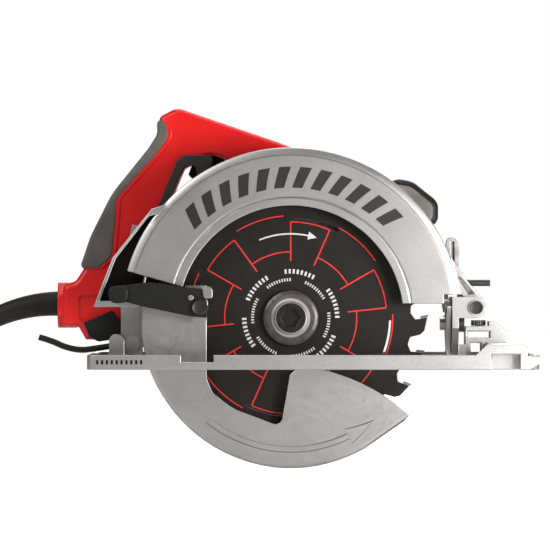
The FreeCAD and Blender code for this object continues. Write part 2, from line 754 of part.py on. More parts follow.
GRIP_Y = (HANDLE_MIDDLE_Y - HANDLE_HALF_WIDTH - 1.5, HANDLE_MIDDLE_Y + HANDLE_HALF_WIDTH + 1.5)
GRIP = [
    (-142.0, 66.5, 3),
    (-134.5, 88.5, 60),
    (-120.2, 117.0, 60),
    (-96.0, 147.0, 12),
    (-89.6, 157.0, 10),
    (-90.0, 167.5, 3),
    (-84.0, 166.0, 4),
    (-80.5, 156.0, 10),
    (-90.0, 143.0, 12),
    (-116.5, 113.0, 8),
    (-117.0, 99.0, 20),
    (-119.5, 74.0, 10),
    (-129.0, 66.0, 5),
]


def handle_block(y):
    """The full handle over a span of its width."""
    body = without(plate_y(HANDLE_OUTLINE, y), plate_y(FINGER_HOLE, (y[0] - 1, y[1] + 1)))
    return body.cut(rod_y(HOUSING_RADIUS + PART_GAP, (y[0] - 1, y[1] + 1), MOTOR))


def handle_shell(side):
    """One of the two moulded halves; side is -1 for the right half."""
    middle = HANDLE_MIDDLE_Y
    face_y = middle + side * HANDLE_HALF_WIDTH
    y = sorted((middle, face_y))
    shell = handle_block(y)
    outer_edges = [
        edge
        for edge in shell.Edges
        if abs(edge.BoundBox.YMin - face_y) < 1e-3 and edge.BoundBox.YLength < 1e-3
    ]
    hollow_half = HANDLE_HALF_WIDTH - HANDLE_WALL
    hollow = inner_space((middle - hollow_half, middle + hollow_half))
    bosses = [rod_y(4.0, y, screw) for screw in HANDLE_SCREWS]
    left = middle + HANDLE_HALF_WIDTH
    bores = [rod_y(1.6, (left - 28.0, left + 1), screw) for screw in HANDLE_SCREWS]
    bores += [rod_y(3.3, (left - 2.2, left + 1), screw) for screw in HANDLE_SCREWS]
    pocket = plate_y(TRIGGER_POCKET, (middle - TRIGGER_HALF - 0.5, middle + TRIGGER_HALF + 0.5))
    inlet = rod_x(BOOT_RADII[0] + 0.1, (-160, BOOT_START[0] + BOOT_STUB), (middle, BOOT_START[1]))
    trigger_hole = rod_y(2.1, (middle - 12, middle + 12), TRIGGER_PIVOT)
    softened = shell.makeFillet(3.0, outer_edges)
    solid = joined(without(softened, hollow), *[boss.common(softened) for boss in bosses])
    return without(solid, pocket, inlet, trigger_hole, *bores)


def inner_space(y):
    """The hollow inside both halves, one wall in from the outline."""
    spaces = []
    face = Part.Face(outline(HANDLE_OUTLINE, on_y, y[0]))
    hole = Part.Face(outline(FINGER_HOLE, on_y, y[0]))
    inner = face.makeOffset2D(-HANDLE_WALL)
    bigger = hole.makeOffset2D(HANDLE_WALL)
    spaces.append(inner.cut(bigger).extrude(vector(0, y[1] - y[0], 0)))
    return spaces[0].cut(rod_y(HOUSING_RADIUS + PART_GAP + HANDLE_WALL, (y[0] - 1, y[1] + 1), MOTOR))


def handle_grip():
    """The soft grip moulded round the back of the handle."""
    skin = plate_y(GRIP, GRIP_Y)
    return skin.cut(plate_y(HANDLE_OUTLINE, (GRIP_Y[0] + 1.5, GRIP_Y[1] - 1.5)))


def heel_bumper():
    half = HANDLE_HALF_WIDTH - 2
    return plate_y(HEEL, (HANDLE_MIDDLE_Y - half, HANDLE_MIDDLE_Y + half))


def trigger():
    y = (HANDLE_MIDDLE_Y - TRIGGER_HALF, HANDLE_MIDDLE_Y + TRIGGER_HALF)
    return without(plate_y(TRIGGER_OUTLINE, y), rod_y(2.0 + RUNNING, (y[0] - 1, y[1] + 1), TRIGGER_PIVOT))


def trigger_pin():
    return rod_y(2.0, (HANDLE_MIDDLE_Y - 11.5, HANDLE_MIDDLE_Y + 11.5), TRIGGER_PIVOT)


def switch_body():
    y = (HANDLE_MIDDLE_Y - SWITCH_HALF, HANDLE_MIDDLE_Y + SWITCH_HALF)
    return block(SWITCH_X, y, SWITCH_Z)


def handle_screws():
    """Screws put in from the left half's side."""
    right = HANDLE_MIDDLE_Y - HANDLE_HALF_WIDTH
    middle = vector(0, HANDLE_MIDDLE_Y, 0)
    screws = [screw_y(centre, (right + 0.2, right + 28.0), 3.2, 1.6, 2.0) for centre in HANDLE_SCREWS]
    return [screw.mirror(middle, vector(0, 1, 0)) for screw in screws]


WRENCH_THICKNESS = 3.0
WRENCH_GAP = 0.6
WRENCH_Y = (HANDLE_RIGHT_Y - WRENCH_GAP - WRENCH_THICKNESS, HANDLE_RIGHT_Y - WRENCH_GAP)
WRENCH = [
    (-96.0, 92.0, 3),
    (-76.5, 139.0, 5),
    (-72.0, 142.8, 4),
    (-53.5, 142.8, 3),
    (-52.0, 139.5, 3),
    (-66.0, 108.0, 4),
    (-72.0, 92.0, 3),
]
WRENCH_WINDOW = [
    (-81.0, 112.5, 3),
    (-71.0, 136.5, 4),
    (-64.0, 136.0, 3),
    (-63.0, 130.0, 3),
    (-72.5, 107.0, 3),
]


def blade_wrench():
    body = plate_y(WRENCH, WRENCH_Y)
    socket = plate_y(hexagon(13.0, (-78.0, 99.0)), (WRENCH_Y[0] - 1, WRENCH_Y[1] + 1))
    return without(body, plate_y(WRENCH_WINDOW, (WRENCH_Y[0] - 1, WRENCH_Y[1] + 1)), socket)


# Front handle --------------------------------------------------------------------------------------------------

KNOB_CENTRE = (82.0, 108.0)
KNOB_Y = 45.0
KNOB_RADIUS = 21.0
KNOB_SCREW_ANGLE = 34.0


def front_handle():
    """The front knob on its arm, which is bolted to the motor housing."""
    corners = [
        (30.0, 92.0, 3),
        (18.0, 104.0),
        (24.0, 109.0, 6),
        (62.0, 120.0, 8),
        (90.0, 112.0, 4),
        (84.0, 94.0, 6),
        (50.0, 88.0, 10),
        (41.0, 74.0, 2),
        (34.0, 66.0),
    ]
    arm = plate_y(corners, (KNOB_Y - 9, KNOB_Y + 9))
    arm = arm.cut(rod_y(HOUSING_RADIUS + PART_GAP, (KNOB_Y - 20, KNOB_Y + 20), MOTOR))
    ball = Part.makeSphere(KNOB_RADIUS, vector(KNOB_CENTRE[0], KNOB_Y, KNOB_CENTRE[1]))
    x, z = KNOB_CENTRE
    limit = block((60, x + 17.5), (KNOB_Y - 19, KNOB_Y + 19), (z - 17, z + 19))
    return without(joined(arm, ball.common(limit)), *front_handle_screws())


def front_handle_screws():
    """Two screws from inside the motor housing into the arm."""
    start = polar(HOUSING_RADIUS - HOUSING_WALL + 0.2, KNOB_SCREW_ANGLE, MOTOR)
    turn = math.radians(KNOB_SCREW_ANGLE)
    direction = vector(math.cos(turn), 0, math.sin(turn))
    return [
        Part.makeCylinder(SCREW_SHANK, 18.0, vector(start[0], KNOB_Y + side * 4.5, start[1]), direction)
        for side in (-1, 1)
    ]


# Lower guard ---------------------------------------------------------------------------------------------------


def lower_profile(inset, y):
    """The guard's outline: rear edge, round bottom, straight chord to the tip, curved front edge."""
    radius = LOWER_RADIUS - inset
    rear = polar(radius, LOWER_REAR_ANGLE)
    bottom = polar(radius, (LOWER_REAR_ANGLE + LOWER_CHORD_ANGLE) / 2)
    chord = polar(radius, LOWER_CHORD_ANGLE)
    edge = (75.5 - inset * 0.5, -35.0 + inset)
    tip = (LOWER_TIP[0] - inset * 0.2, LOWER_TIP[1] + inset)
    points = [on_y(*p, y[0]) for p in (rear, bottom, chord, edge, tip, (44.1, -8.3), (6.0, 2.0))]
    corners = ((6.0, ARBOR_Z + 10), (-50.0, 46.3), (-52.0, 55.3), (-70.0, 55.3), (-74.0, 47.6))
    top = [on_y(*p, y[0]) for p in corners]
    edges = [
        Part.Arc(points[0], points[1], points[2]).toShape(),
        Part.LineSegment(points[2], points[3]).toShape(),
        Part.LineSegment(points[3], points[4]).toShape(),
        Part.Arc(points[4], points[5], points[6]).toShape(),
        Part.LineSegment(points[6], top[0]).toShape(),
    ]
    edges += [Part.LineSegment(a, b).toShape() for a, b in zip(top, top[1:])]
    edges.append(Part.LineSegment(top[-1], points[0]).toShape())
    return Part.Face(Part.Wire(edges)).extrude(vector(0, y[1] - y[0], 0))


def is_arc(edge, radius):
    return isinstance(edge.Curve, Part.Circle) and abs(edge.Curve.Radius - radius) < 1e-3


def lower_guard():
    y = (-LOWER_HALF_WIDTH, LOWER_HALF_WIDTH)
    inside = (y[0] + LOWER_WALL, y[1] - LOWER_WALL)
    body = lower_profile(0.0, y)
    rolled = [edge for edge in body.Edges if is_arc(edge, LOWER_RADIUS)]
    body = body.makeFillet(LOWER_EDGE_RADIUS, rolled)
    cavity = lower_profile(LOWER_WALL, inside)
    front = plate_y([(6.0, 2.1), (78.4, -29.0), (90.0, -20.0), (60.0, 30.0), (6.0, 60.0)], inside)
    top = block((-90, 20), inside, (44, 70))
    rear = plate_y([(-99.5, 47.0), (-70.0, 60.0), (-60, 40.0), (-96.0, 40.0)], inside)
    hub = rod_y(HUB_RADIUS, (inside[1], y[1] + 2.5))
    hub_wall = joined(hub, sector(90, 20, (150, 215), (inside[1], y[1])))
    window = [
        (LOWER_WINDOW_X, 60.0),
        (LOWER_WINDOW_X, -6.5),
        (-52.0, -16.0, 8),
        (-38.5, -26.5, 40),
        (-10.5, -37.0, 4),
        (-6.3, -35.7, 4),
        (-0.7, -4.0, 3),
        (6.0, 1.5),
        (10.0, 10.0),
        (10.0, 60.0),
    ]
    opening = plate_y(window, (y[0] - 1, inside[0] + 0.5))
    bore = rod_y(HUB_BORE_RADIUS, (0, 20))
    left_opening = block((-LOWER_RADIUS, LOWER_RADIUS), (inside[1], y[1] + 0.01), (44.0, 70))
    shell = without(body, cavity, front, top, rear, opening)
    shell = joined(without(shell, left_opening), hub_wall, lever_boss())
    holes = [rod_y(LEVER_SCREW_RADIUS, (y[0] - 10, 0), hole) for hole in LEVER_HOLES]
    return without(shell, bore, *holes)


LEVER_HOLES = [(-60.2, 40.7), (-66.2, 47.3)]
LEVER_SCREW_RADIUS = 1.5
LEVER_Y = (-21.0, -21.0 + LEVER_THICKNESS)


def lever_boss():
    """The standing boss that carries the lift lever clear of the upper guard's face."""
    corners = [
        (-55.0, 37.0, 3),
        (-55.0, 45.0, 3),
        (-63.0, 52.0, 3),
        (-69.5, 50.0, 3),
        (-69.5, 43.0, 3),
        (-63.0, 36.0, 3),
    ]
    return plate_y(corners, (LEVER_Y[1], -LOWER_HALF_WIDTH + 0.5))


def guard_lever():
    corners = [
        (-120.0, 54.5, 1.5),
        (-94.0, 57.5, 20),
        (-74.0, 54.5, 20),
        (-56.5, 53.0, 3),
        (-54.8, 33.8, 2),
        (-67.0, 35.0, 4),
        (-96.0, 41.0, 20),
        (-115.0, 46.0, 4),
        (-121.0, 50.5, 1.5),
    ]
    thumb_corners = [(-122.0, 54.0, 4), (-107.0, 54.5, 4), (-108.0, 45.5, 3), (-119.0, 43.5, 4)]
    arm = plate_y(corners, LEVER_Y)
    thumb = plate_y(thumb_corners, (LEVER_Y[0] - 3, LEVER_Y[1] + 1.8))
    holes = [rod_y(LEVER_SCREW_RADIUS, (LEVER_Y[0] - 5, LEVER_Y[1] + 1), hole) for hole in LEVER_HOLES]
    return without(joined(arm, thumb), *holes)


def guard_bolts():
    bolt_hole, rivet_hole = LEVER_HOLES
    bolt = screw_y(bolt_hole, (LEVER_Y[0] - 1.6, -8.0), 5.3, LEVER_SCREW_RADIUS, 1.6)
    rivet_head = rod_y(2.2, (LEVER_Y[0] - 0.8, LEVER_Y[0]), rivet_hole)
    rivet = joined(rivet_head, rod_y(LEVER_SCREW_RADIUS, (LEVER_Y[0], -8.0), rivet_hole))
    return [bolt, rivet]


# Depth and bevel frame -----------------------------------------------------------------------------------------

EAR_YS = ((-16.0, -9.3), (9.3, 16.0))
UPRIGHT_X = (107.0, 111.5)
BRACKET_KNUCKLE_X = (106.6, 117.0)
CLAMP = polar(CLAMP_RADIUS, CLAMP_ANGLE, (0.0, BEVEL_AXIS_Z))
STOP_PIVOT = (33.0, 42.0)
STOP_HUB_X = (102.6, 106.7)


def front_bracket():
    upright = plate_x(
        [
            (-16.0, 47.8, 1),
            (-16.0, 27.0),
            (-4.0, 11.5),
            (-3.0, BEVEL_AXIS_Z),
            (3.0, BEVEL_AXIS_Z),
            (10.0, 9.0, 3),
            (30.0, 22.0, 8),
            (40.0, 36.0, 3),
            (40.0, 47.8, 5),
        ],
        UPRIGHT_X,
    )
    window = block((106.0, 112.5), (-9.0, 9.0), (34.5, 50.0))
    parts = [upright.cut(window)]
    for y in EAR_YS:
        bar = block((UPRIGHT_X[0], DEPTH_PIVOT[0]), y, (DEPTH_PIVOT[1] - 7, DEPTH_PIVOT[1] + 7))
        parts += [bar, rod_y(7.0, y, DEPTH_PIVOT)]
    neck = block((BRACKET_KNUCKLE_X[0] + 0.4, BRACKET_KNUCKLE_X[1]), (-3, 3), (BEVEL_AXIS_Z, 16.0))
    parts += [neck, rod_x(KNUCKLE_RADIUS, BRACKET_KNUCKLE_X, (0.0, BEVEL_AXIS_Z))]
    cuts = [
        rod_y(PIVOT_PIN_RADIUS, (-20, 20), DEPTH_PIVOT),
        rod_x(BEVEL_PIN_RADIUS + RUNNING, (100, 125), (0.0, BEVEL_AXIS_Z)),
        rod_x(CLAMP_BOLT_RADIUS, (100, 115), CLAMP),
        rod_x(2.0, (100, 115), STOP_PIVOT),
    ]
    return without(joined(*parts), *cuts)


def depth_pivot_pin():
    pin = rod_y(PIVOT_PIN_RADIUS, (-17.0, 18.5), DEPTH_PIVOT)
    head = rod_y(5.0, (-18.0, -16.0), DEPTH_PIVOT)
    nut = plate_y(hexagon(8.0, DEPTH_PIVOT), (16.0, 19.0))
    return without(joined(pin, head, nut), plate_y(hexagon(3.4, DEPTH_PIVOT), (-19, -17)))


def bevel_clamp_bolt():
    head = rod_x(5.0, (100.3, QUADRANT_X[0] - 0.1), CLAMP)
    shank = rod_x(CLAMP_BOLT_RADIUS, (QUADRANT_X[0] - 0.1, 116.6), CLAMP)
    return joined(head, shank)


def bevel_lever():
    x = (112.0, 116.6)
    hub = rod_x(6.0, x, CLAMP)
    arm = block(x, (CLAMP[0] - 2.2, CLAMP[0] + 2.2), (CLAMP[1], 59.2))
    bar = rod_x(2.2, (x[0], 134.0), (CLAMP[0], 57.0))
    return joined(hub, arm, bar).cut(rod_x(CLAMP_BOLT_RADIUS + RUNNING, (100, 120), CLAMP))


def bevel_stop_lever():
    hub = rod_x(5.0, STOP_HUB_X, STOP_PIVOT)
    y, z = STOP_PIVOT
    arm = block((STOP_HUB_X[0], STOP_HUB_X[1] - 0.6), (y - 3, y + 3), (z, 68.0))
    paddle = plate_y(
        [(103.0, 65.8), (113.5, 65.8, 3), (113.5, 84.0, 4), (110.0, 87.8, 3), (105.0, 87.8, 3)],
        (y - 2, y + 2),
    )
    return joined(hub, arm, paddle).cut(rod_x(2.0 + RUNNING, (100, 118), STOP_PIVOT))


def bevel_stop_pin():
    return rod_x(2.0, (102.0, 112.0), STOP_PIVOT)


REAR_KNUCKLE_X = (-121.3, -110.7)
ARC_Y = (16.4, 19.2)


def depth_arc():
    """The slotted arc behind the guard, on its bevel knuckle and post."""
    start = 180 + math.degrees(math.asin((DEPTH_PIVOT[1] - ARC_BOLT_Z) / ARC_RADIUS))
    low = start + 1.2
    high = start - DEPTH_TRAVEL - 1.5
    radii = (ARC_RADIUS + ARC_HALF_WIDTH, ARC_RADIUS - ARC_HALF_WIDTH)
    band = sector(*radii, (high, low + 1.0), ARC_Y, DEPTH_PIVOT)
    slot = slot_about(
        ARC_RADIUS,
        CLAMP_BOLT_RADIUS + PART_GAP,
        (start - DEPTH_TRAVEL - 0.3, start + 0.3),
        (ARC_Y[0] - 1, ARC_Y[1] + 1),
        DEPTH_PIVOT,
    )
    x = (REAR_KNUCKLE_X[0] + 0.2, REAR_KNUCKLE_X[1] - 0.2)
    base = block(x, (0.0, ARC_Y[1]), (BEVEL_AXIS_Z, 7.6))
    post = plate_y([(x[0], 5.0), (x[1], 5.0), (x[1], 21.0, 5), (x[0], 25.8, 5)][::-1], (-2.0, 7.8))
    post = post.common(block((-130, -100), (-2, 8), (8.5, 30))).fuse(block(x, (0.0, 7.8), (5.0, 9.0)))
    knuckle = rod_x(KNUCKLE_RADIUS, x, (0.0, BEVEL_AXIS_Z))
    tie = block(x, ARC_Y, (BEVEL_AXIS_Z, 11.0))
    ledge = block((x[1] - 1, ARC_BOLT[0] + ARC_HALF_WIDTH), ARC_Y, (6.0, 11.0))
    pin = rod_x(BEVEL_PIN_RADIUS + RUNNING, (-130, -100), (0.0, BEVEL_AXIS_Z))
    return without(joined(band, base, post, knuckle, tie, ledge), slot, pin)


def depth_bolt():
    head = rod_y(5.0, (ARC_LUG_Y[0] - 1.8, ARC_LUG_Y[0]), ARC_BOLT)
    shank = rod_y(CLAMP_BOLT_RADIUS, (ARC_LUG_Y[0], DEPTH_LEVER_END_Y), ARC_BOLT)
    return joined(head, shank)


def depth_lever():
    """The clamp lever: a hub on the depth bolt and a bent round bar to the rear."""
    y = (ARC_Y[1] + PART_GAP, DEPTH_LEVER_END_Y)
    middle = sum(y) / 2
    hub = rod_y(7.0, y, ARC_BOLT)
    points = [
        (ARC_BOLT[0] - 1.3, ARC_BOLT[1] - 1.0),
        (-131.0, 13.0),
        (-141.0, 11.6),
        (-152.0, 14.0),
        (-160.0, 18.0),
        (-169.0, 20.6),
    ]
    parts = [hub]
    for a, b in zip(points, points[1:]):
        start = on_y(*a, middle)
        run = on_y(*b, middle) - start
        parts += [Part.makeCylinder(2.1, run.Length, start, run), Part.makeSphere(2.1, on_y(*b, middle))]
    return joined(*parts).cut(rod_y(CLAMP_BOLT_RADIUS + RUNNING, (0, 40), ARC_BOLT))


# Foot ----------------------------------------------------------------------------------------------------------

FOOT_NOTCH_X = (-72.2, -50.9)
FOOT_KNUCKLES = ((-126.0, -121.3), (-110.7, -106.0), (117.2, 123.0))


def foot_plate():
    x = (FOOT_REAR_X, FOOT_FRONT_X)
    y = (FOOT_RIGHT_Y, FOOT_LEFT_Y)
    wall = FOOT_EDGE_WALL
    corners = [(x[0], y[0], 6), (x[1], y[0], 8), (x[1], y[1], 12), (x[0], y[1], 12)]
    body = plate_z(corners, (0, FOOT_EDGE))
    inner = [
        (x[0] + wall, y[0] + wall, 4),
        (x[1] - wall, y[0] + wall, 6),
        (x[1] - wall, y[1] - wall, 9),
        (x[0] + wall, y[1] - wall, 9),
    ]
    tray = plate_z(inner, (FOOT_PLATE, FOOT_EDGE + 1))
    side_corners = [
        (121.5, 0.0),
        (121.5, FOOT_EDGE),
        (128.8, DECK_Z),
        (152.0, DECK_Z),
        (x[1], 9.0),
        (x[1], 4.0),
        (157.5, 0.0),
    ]
    side = plate_y(side_corners, (y[0], y[0] + wall))
    deck = block(DECK_X, (y[0], y[1]), (0, DECK_Z))
    tunnel_x = (DECK_X[0] + wall, DECK_X[1] - wall)
    tunnel = block(tunnel_x, (y[0] + 12, y[1] - wall), (FOOT_PLATE, DECK_Z - wall))
    knuckles = [rod_x(KNUCKLE_RADIUS, span, (0.0, BEVEL_AXIS_Z)) for span in FOOT_KNUCKLES]
    holder = without(guide_holder(), *guide_cuts())
    cuts = [
        block(SLOT_X, SLOT_Y, (-1, 30)),
        block((REAR_KNUCKLE_X[0], REAR_KNUCKLE_X[1]), (-6.5, 21.0), (-1, 8)),
        block((QUADRANT_X[0] - PART_GAP, 117.2), (-6.5, 6.5), (-1, 8)),
        block(FOOT_NOTCH_X, (y[0] - 1, y[0] + wall + 1), (5.0, 12)),
        block((131.5, 150.5), (y[0] - 1, y[0] + 10), (-1, 10.3)),
        block((x[1] - 8, x[1] + 1), (y[0] - 1, y[0] + wall), (9.0, 20)),
        rod_y(HOUSING_RADIUS + HOUSING_TO_FOOT, (CASE_LEFT_Y, y[1] + 1), MOTOR),
    ]
    shell = joined(without(body, tray), side, deck)
    tilted = Part.makeBox(20, 200, 10, vector(152.0, y[0] - 1, DECK_Z))
    tilted.rotate(vector(152.0, 0, DECK_Z), vector(0, 1, 0), 34)
    cuts.append(tilted)
    shell = without(shell, *cuts, tunnel)
    solid = joined(shell, *knuckles, holder)
    pins = rod_x(BEVEL_PIN_RADIUS, (-140, 125), (0.0, BEVEL_AXIS_Z))
    return without(solid, pins, *[rod_z(2.0, (-1, 5), hole) for hole in QUADRANT_SCREWS])


GUIDE_Y = (21.5, 44.0)
GUIDE_SLOT_X = (118.8, 134.0)
GUIDE_SLOT_Z = (20.2, 24.4)
GUIDE_SCREW = (126.5, 32.0)


def guide_holder():
    corners = [
        (117.2, 17.0),
        (146.0, 16.0),
        (146.0, 24.0),
        (136.5, 31.5, 2),
        (133.0, 31.5),
        (133.0, 28.0),
        (117.2, 28.0),
    ]
    top = plate_y(corners, GUIDE_Y)
    posts = [block((117.2, 121.0), GUIDE_Y, (0.5, 17.5)), block((128.0, 133.0), GUIDE_Y, (0.5, 17.5))]
    return joined(top, *posts)


def guide_cuts():
    return [
        block(GUIDE_SLOT_X, (GUIDE_Y[0] - 1, GUIDE_Y[1] + 1), GUIDE_SLOT_Z),
        rod_z(2.5 + RUNNING, (24, 30), GUIDE_SCREW),
    ]


def rip_guide_screw():
    shank = rod_z(2.5, (GUIDE_SLOT_Z[1] + 0.1, 29.0), GUIDE_SCREW)
    head = rod_z(5.0, (28.2, 31.9), GUIDE_SCREW)
    flutes = []
    for i in range(12):
        x = GUIDE_SCREW[0] + 5.3 * math.cos(math.radians(30 * i))
        y = GUIDE_SCREW[1] + 5.3 * math.sin(math.radians(30 * i))
        flutes.append(rod_z(0.8, (28.0, 32.5), (x, y)))
    return without(joined(shank, head), *flutes)


QUADRANT_SCREWS = [(104.9, -20.0), (104.9, 30.0)]


def bevel_quadrant():
    centre = (0.0, BEVEL_AXIS_Z)
    web = sector(41.0, 3.0, (35, 115), QUADRANT_X, centre, on_x)
    base_corners = [
        (-26.0, FOOT_PLATE),
        (36.0, FOOT_PLATE),
        (36.0, 10.0, 2),
        (12.0, 12.0),
        (-12.0, 12.0),
        (-26.0, 8.0),
    ]
    base = plate_x(base_corners, QUADRANT_X)
    boss = rod_x(KNUCKLE_RADIUS, QUADRANT_X, centre)
    slot = slot_about(
        CLAMP_RADIUS,
        CLAMP_BOLT_RADIUS + PART_GAP,
        (CLAMP_ANGLE - 0.5, CLAMP_ANGLE + BEVEL_TRAVEL + 0.5),
        (QUADRANT_X[0] - 1, QUADRANT_X[1] + 1),
        centre,
        on_x,
    )
    return without(joined(web, base, boss), slot, rod_x(BEVEL_PIN_RADIUS, (100, 110), centre))


def bevel_pins():
    centre = (0.0, BEVEL_AXIS_Z)
    return [rod_x(BEVEL_PIN_RADIUS, span, centre) for span in ((-126.5, -105.5), (103.0, 123.5))]


# Mains lead ----------------------------------------------------------------------------------------------------

CORD_Y = HANDLE_MIDDLE_Y
BOOT_CENTRE = (BOOT_START[0], BOOT_START[1] - BOOT_BEND_RADIUS)
BOOT_END = polar(BOOT_BEND_RADIUS, 90 + BOOT_BEND, BOOT_CENTRE)
COIL_CENTRE = (-278.0, 130.0)
CORD_ROUTE = [
    (BOOT_END[0], CORD_Y, BOOT_END[1]),
    (-246.5, 42.0, 4.6),
    (-272.0, 44.0, -34.0),
    (-305.0, 53.0, CORD_FLOOR_Z),
    (-337.0, 83.0, CORD_FLOOR_Z),
    (COIL_CENTRE[0] - COIL_MIDDLE_RADIUS - CORD_TURN_PITCH, COIL_CENTRE[1], CORD_FLOOR_Z),
]
COIL_HEIGHT = 3 * CORD_TURN_PITCH
PLUG_Z = FLOOR_Z + COIL_HEIGHT + 9.0
PLUG_X = COIL_CENTRE[0] + COIL_MIDDLE_RADIUS
PLUG_START_Y = COIL_CENTRE[1] + 4.0
PLUG_NECK = 24.0
PLUG_BODY = 28.0
PLUG_HALF = (13.0, 8.8)
PIN_SPACING = 12.7
PIN_HALF = (0.75, 3.2)
PIN_LENGTH = 18.0


def cord_boot():
    """The moulded strain relief: a straight stub in the handle, then a tapered bend."""
    stub = rod_x(BOOT_RADII[0], (BOOT_START[0], BOOT_START[0] + BOOT_STUB - 1), (CORD_Y, BOOT_START[1]))
    circles = []
    for step in range(5):
        share = step / 4
        angle = BOOT_BEND * share
        radius = BOOT_RADII[0] + (BOOT_RADII[1] - BOOT_RADII[0]) * share
        x, z = polar(BOOT_BEND_RADIUS, 90 + angle, BOOT_CENTRE)
        turn = math.radians(angle)
        direction = vector(-math.cos(turn), 0, -math.sin(turn))
        circles.append(Part.Wire(Part.makeCircle(radius, vector(x, CORD_Y, z), direction)))
    return joined(stub, Part.makeLoft(circles, True, False))


def cord_path(points):
    """Straight runs joined by arcs as large as their runs allow, as one wire."""
    places = [vector(*p) for p in points]
    edges = []
    at = places[0]
    for before, here, after in zip(places, places[1:], places[2:]):
        to_before = before - here
        to_after = after - here
        shorter = min(to_before.Length, to_after.Length)
        turn = math.pi - to_before.getAngle(to_after)
        reach = 0.45 * shorter
        radius = reach / math.tan(turn / 2)
        print(f"cord bend radius {radius:.1f} mm")
        to_before.normalize()
        to_after.normalize()
        start = here + to_before * reach
        end = here + to_after * reach
        towards = (to_before + to_after).normalize()
        middle = here + towards * (radius / math.cos(turn / 2) - radius)
        edges.append(Part.LineSegment(at, start).toShape())
        edges.append(Part.Arc(start, middle, end).toShape())
        at = end
    edges.append(Part.LineSegment(at, places[-1]).toShape())
    return Part.Wire(edges)


def power_cord():
    path = cord_path(CORD_ROUTE)
    first = vector(*CORD_ROUTE[1]) - vector(*CORD_ROUTE[0])
    section = Part.Wire(Part.makeCircle(CORD_RADIUS, vector(*CORD_ROUTE[0]), first))
    tube = path.makePipeShell([section], True, False)
    expected = math.pi * CORD_RADIUS**2 * path.Length
    print(f"cord tube {path.Length:.0f} mm long, volume ratio {tube.Volume / expected:.4f}")
    return tube


def cord_coil():
    half = 1.5 * CORD_TURN_PITCH
    z = (FLOOR_Z, FLOOR_Z + COIL_HEIGHT)
    hole = rod_z(COIL_MIDDLE_RADIUS - half, z, COIL_CENTRE)
    ring = rod_z(COIL_MIDDLE_RADIUS + half, z, COIL_CENTRE).cut(hole)
    rims = [edge for edge in ring.Edges if edge.Closed and edge.BoundBox.ZLength < 1e-3]
    return ring.makeFillet(CORD_RADIUS * 0.8, rims)


def mains_plug():
    cone_end = PLUG_START_Y - PLUG_NECK
    body_end = cone_end - PLUG_BODY
    z = (PLUG_Z - PLUG_HALF[1], PLUG_Z + PLUG_HALF[1])
    neck = Part.makeCone(5.2, 8.0, PLUG_NECK, vector(PLUG_X, PLUG_START_Y, PLUG_Z), vector(0, -1, 0))
    body = block((PLUG_X - PLUG_HALF[0], PLUG_X + PLUG_HALF[0]), (body_end, cone_end), z)
    body = body.makeFillet(4.0, [edge for edge in body.Edges if edge.BoundBox.YLength > 20])
    pins = []
    for side in (-1, 1):
        middle = PLUG_X + side * PIN_SPACING / 2
        x = (middle - PIN_HALF[0], middle + PIN_HALF[0])
        pin = block(x, (body_end - PIN_LENGTH, body_end), (PLUG_Z - PIN_HALF[1], PLUG_Z + PIN_HALF[1]))
        pins.append(pin)
    return joined(neck, body, *pins)


def solids():
    """Every node's name and its solids."""
    gear_gap = MOTOR_ANGLE - 180.0 / GEAR_TEETH
    return {
        "upper_guard": upper_guard(),
        "gear_case": gear_case(),
        "gear_case_screws": case_screws(),
        "bearing_outer_races": bearing_outers(),
        "motor_housing": motor_housing(),
        "motor_end_cap": motor_end_cap(),
        "fan_baffle": fan_baffle(),
        "field_core": field_core(),
        "field_coils": field_coils(),
        "brush_holders": brush_holders(),
        "carbon_brushes": carbon_brushes(),
        "brush_springs": brush_springs(),
        "brush_caps": brush_caps(),
        "handle_shell_right": handle_shell(-1),
        "handle_shell_left": handle_shell(1),
        "handle_grip": handle_grip(),
        "heel_bumper": heel_bumper(),
        "handle_screws": handle_screws(),
        "switch_body": switch_body(),
        "trigger_pin": trigger_pin(),
        "trigger": trigger(),
        "blade_wrench": blade_wrench(),
        "front_handle": front_handle(),
        "front_handle_screws": front_handle_screws(),
        "spindle_lock": spindle_lock(),
        "blade": blade(),
        "blade_tips": blade_tips(),
        "inner_flange": inner_flange(),
        "outer_flange": outer_flange(),
        "blade_bolt": blade_bolt(),
        "spindle": spindle(),
        "spindle_gear": involute_gear(GEAR_TEETH, gear_gap, GEAR_Y, ARBOR, SPINDLE_RADIUS),
        "spindle_bearing_inner": spindle_bearing_inners(),
        "armature_shaft": armature_shaft(),
        "armature_core": armature_core(),
        "armature_windings": armature_windings(),
        "commutator": commutator(),
        "cooling_fan": cooling_fan(),
        "armature_bearing_inners": motor_bearing_inners(),
        "lower_guard": lower_guard(),
        "guard_lever": guard_lever(),
        "guard_lever_bolts": guard_bolts(),
        "front_bracket": front_bracket(),
        "depth_pivot_pin": depth_pivot_pin(),
        "bevel_clamp_bolt": bevel_clamp_bolt(),
        "bevel_stop_pin": bevel_stop_pin(),
        "bevel_lever": bevel_lever(),
        "bevel_stop_lever": bevel_stop_lever(),
        "depth_arc": depth_arc(),
        "depth_bolt": depth_bolt(),
        "depth_lever": depth_lever(),
        "foot_plate": foot_plate(),
        "bevel_quadrant": bevel_quadrant(),
        "bevel_pins": bevel_pins(),
        "rip_guide_screw": rip_guide_screw(),
        "cord_boot": cord_boot(),
        "power_cord": power_cord(),
        "cord_coil": cord_coil(),
        "mains_plug": mains_plug(),
    }


def main():
    os.makedirs("parts", exist_ok=True)
    for name, shape in solids().items():
        if isinstance(shape, list):
            shape = Part.makeCompound(shape)
        if not shape.isValid():
            print(f"{name} is not a valid shape")
        if len(shape.Solids) != 1:
            print(f"{name} has {len(shape.Solids)} solids")
        shape.exportStep(f"parts/{name}.step")


main()
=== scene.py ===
import json
import math

import bpy
from mathutils import Matrix, Vector

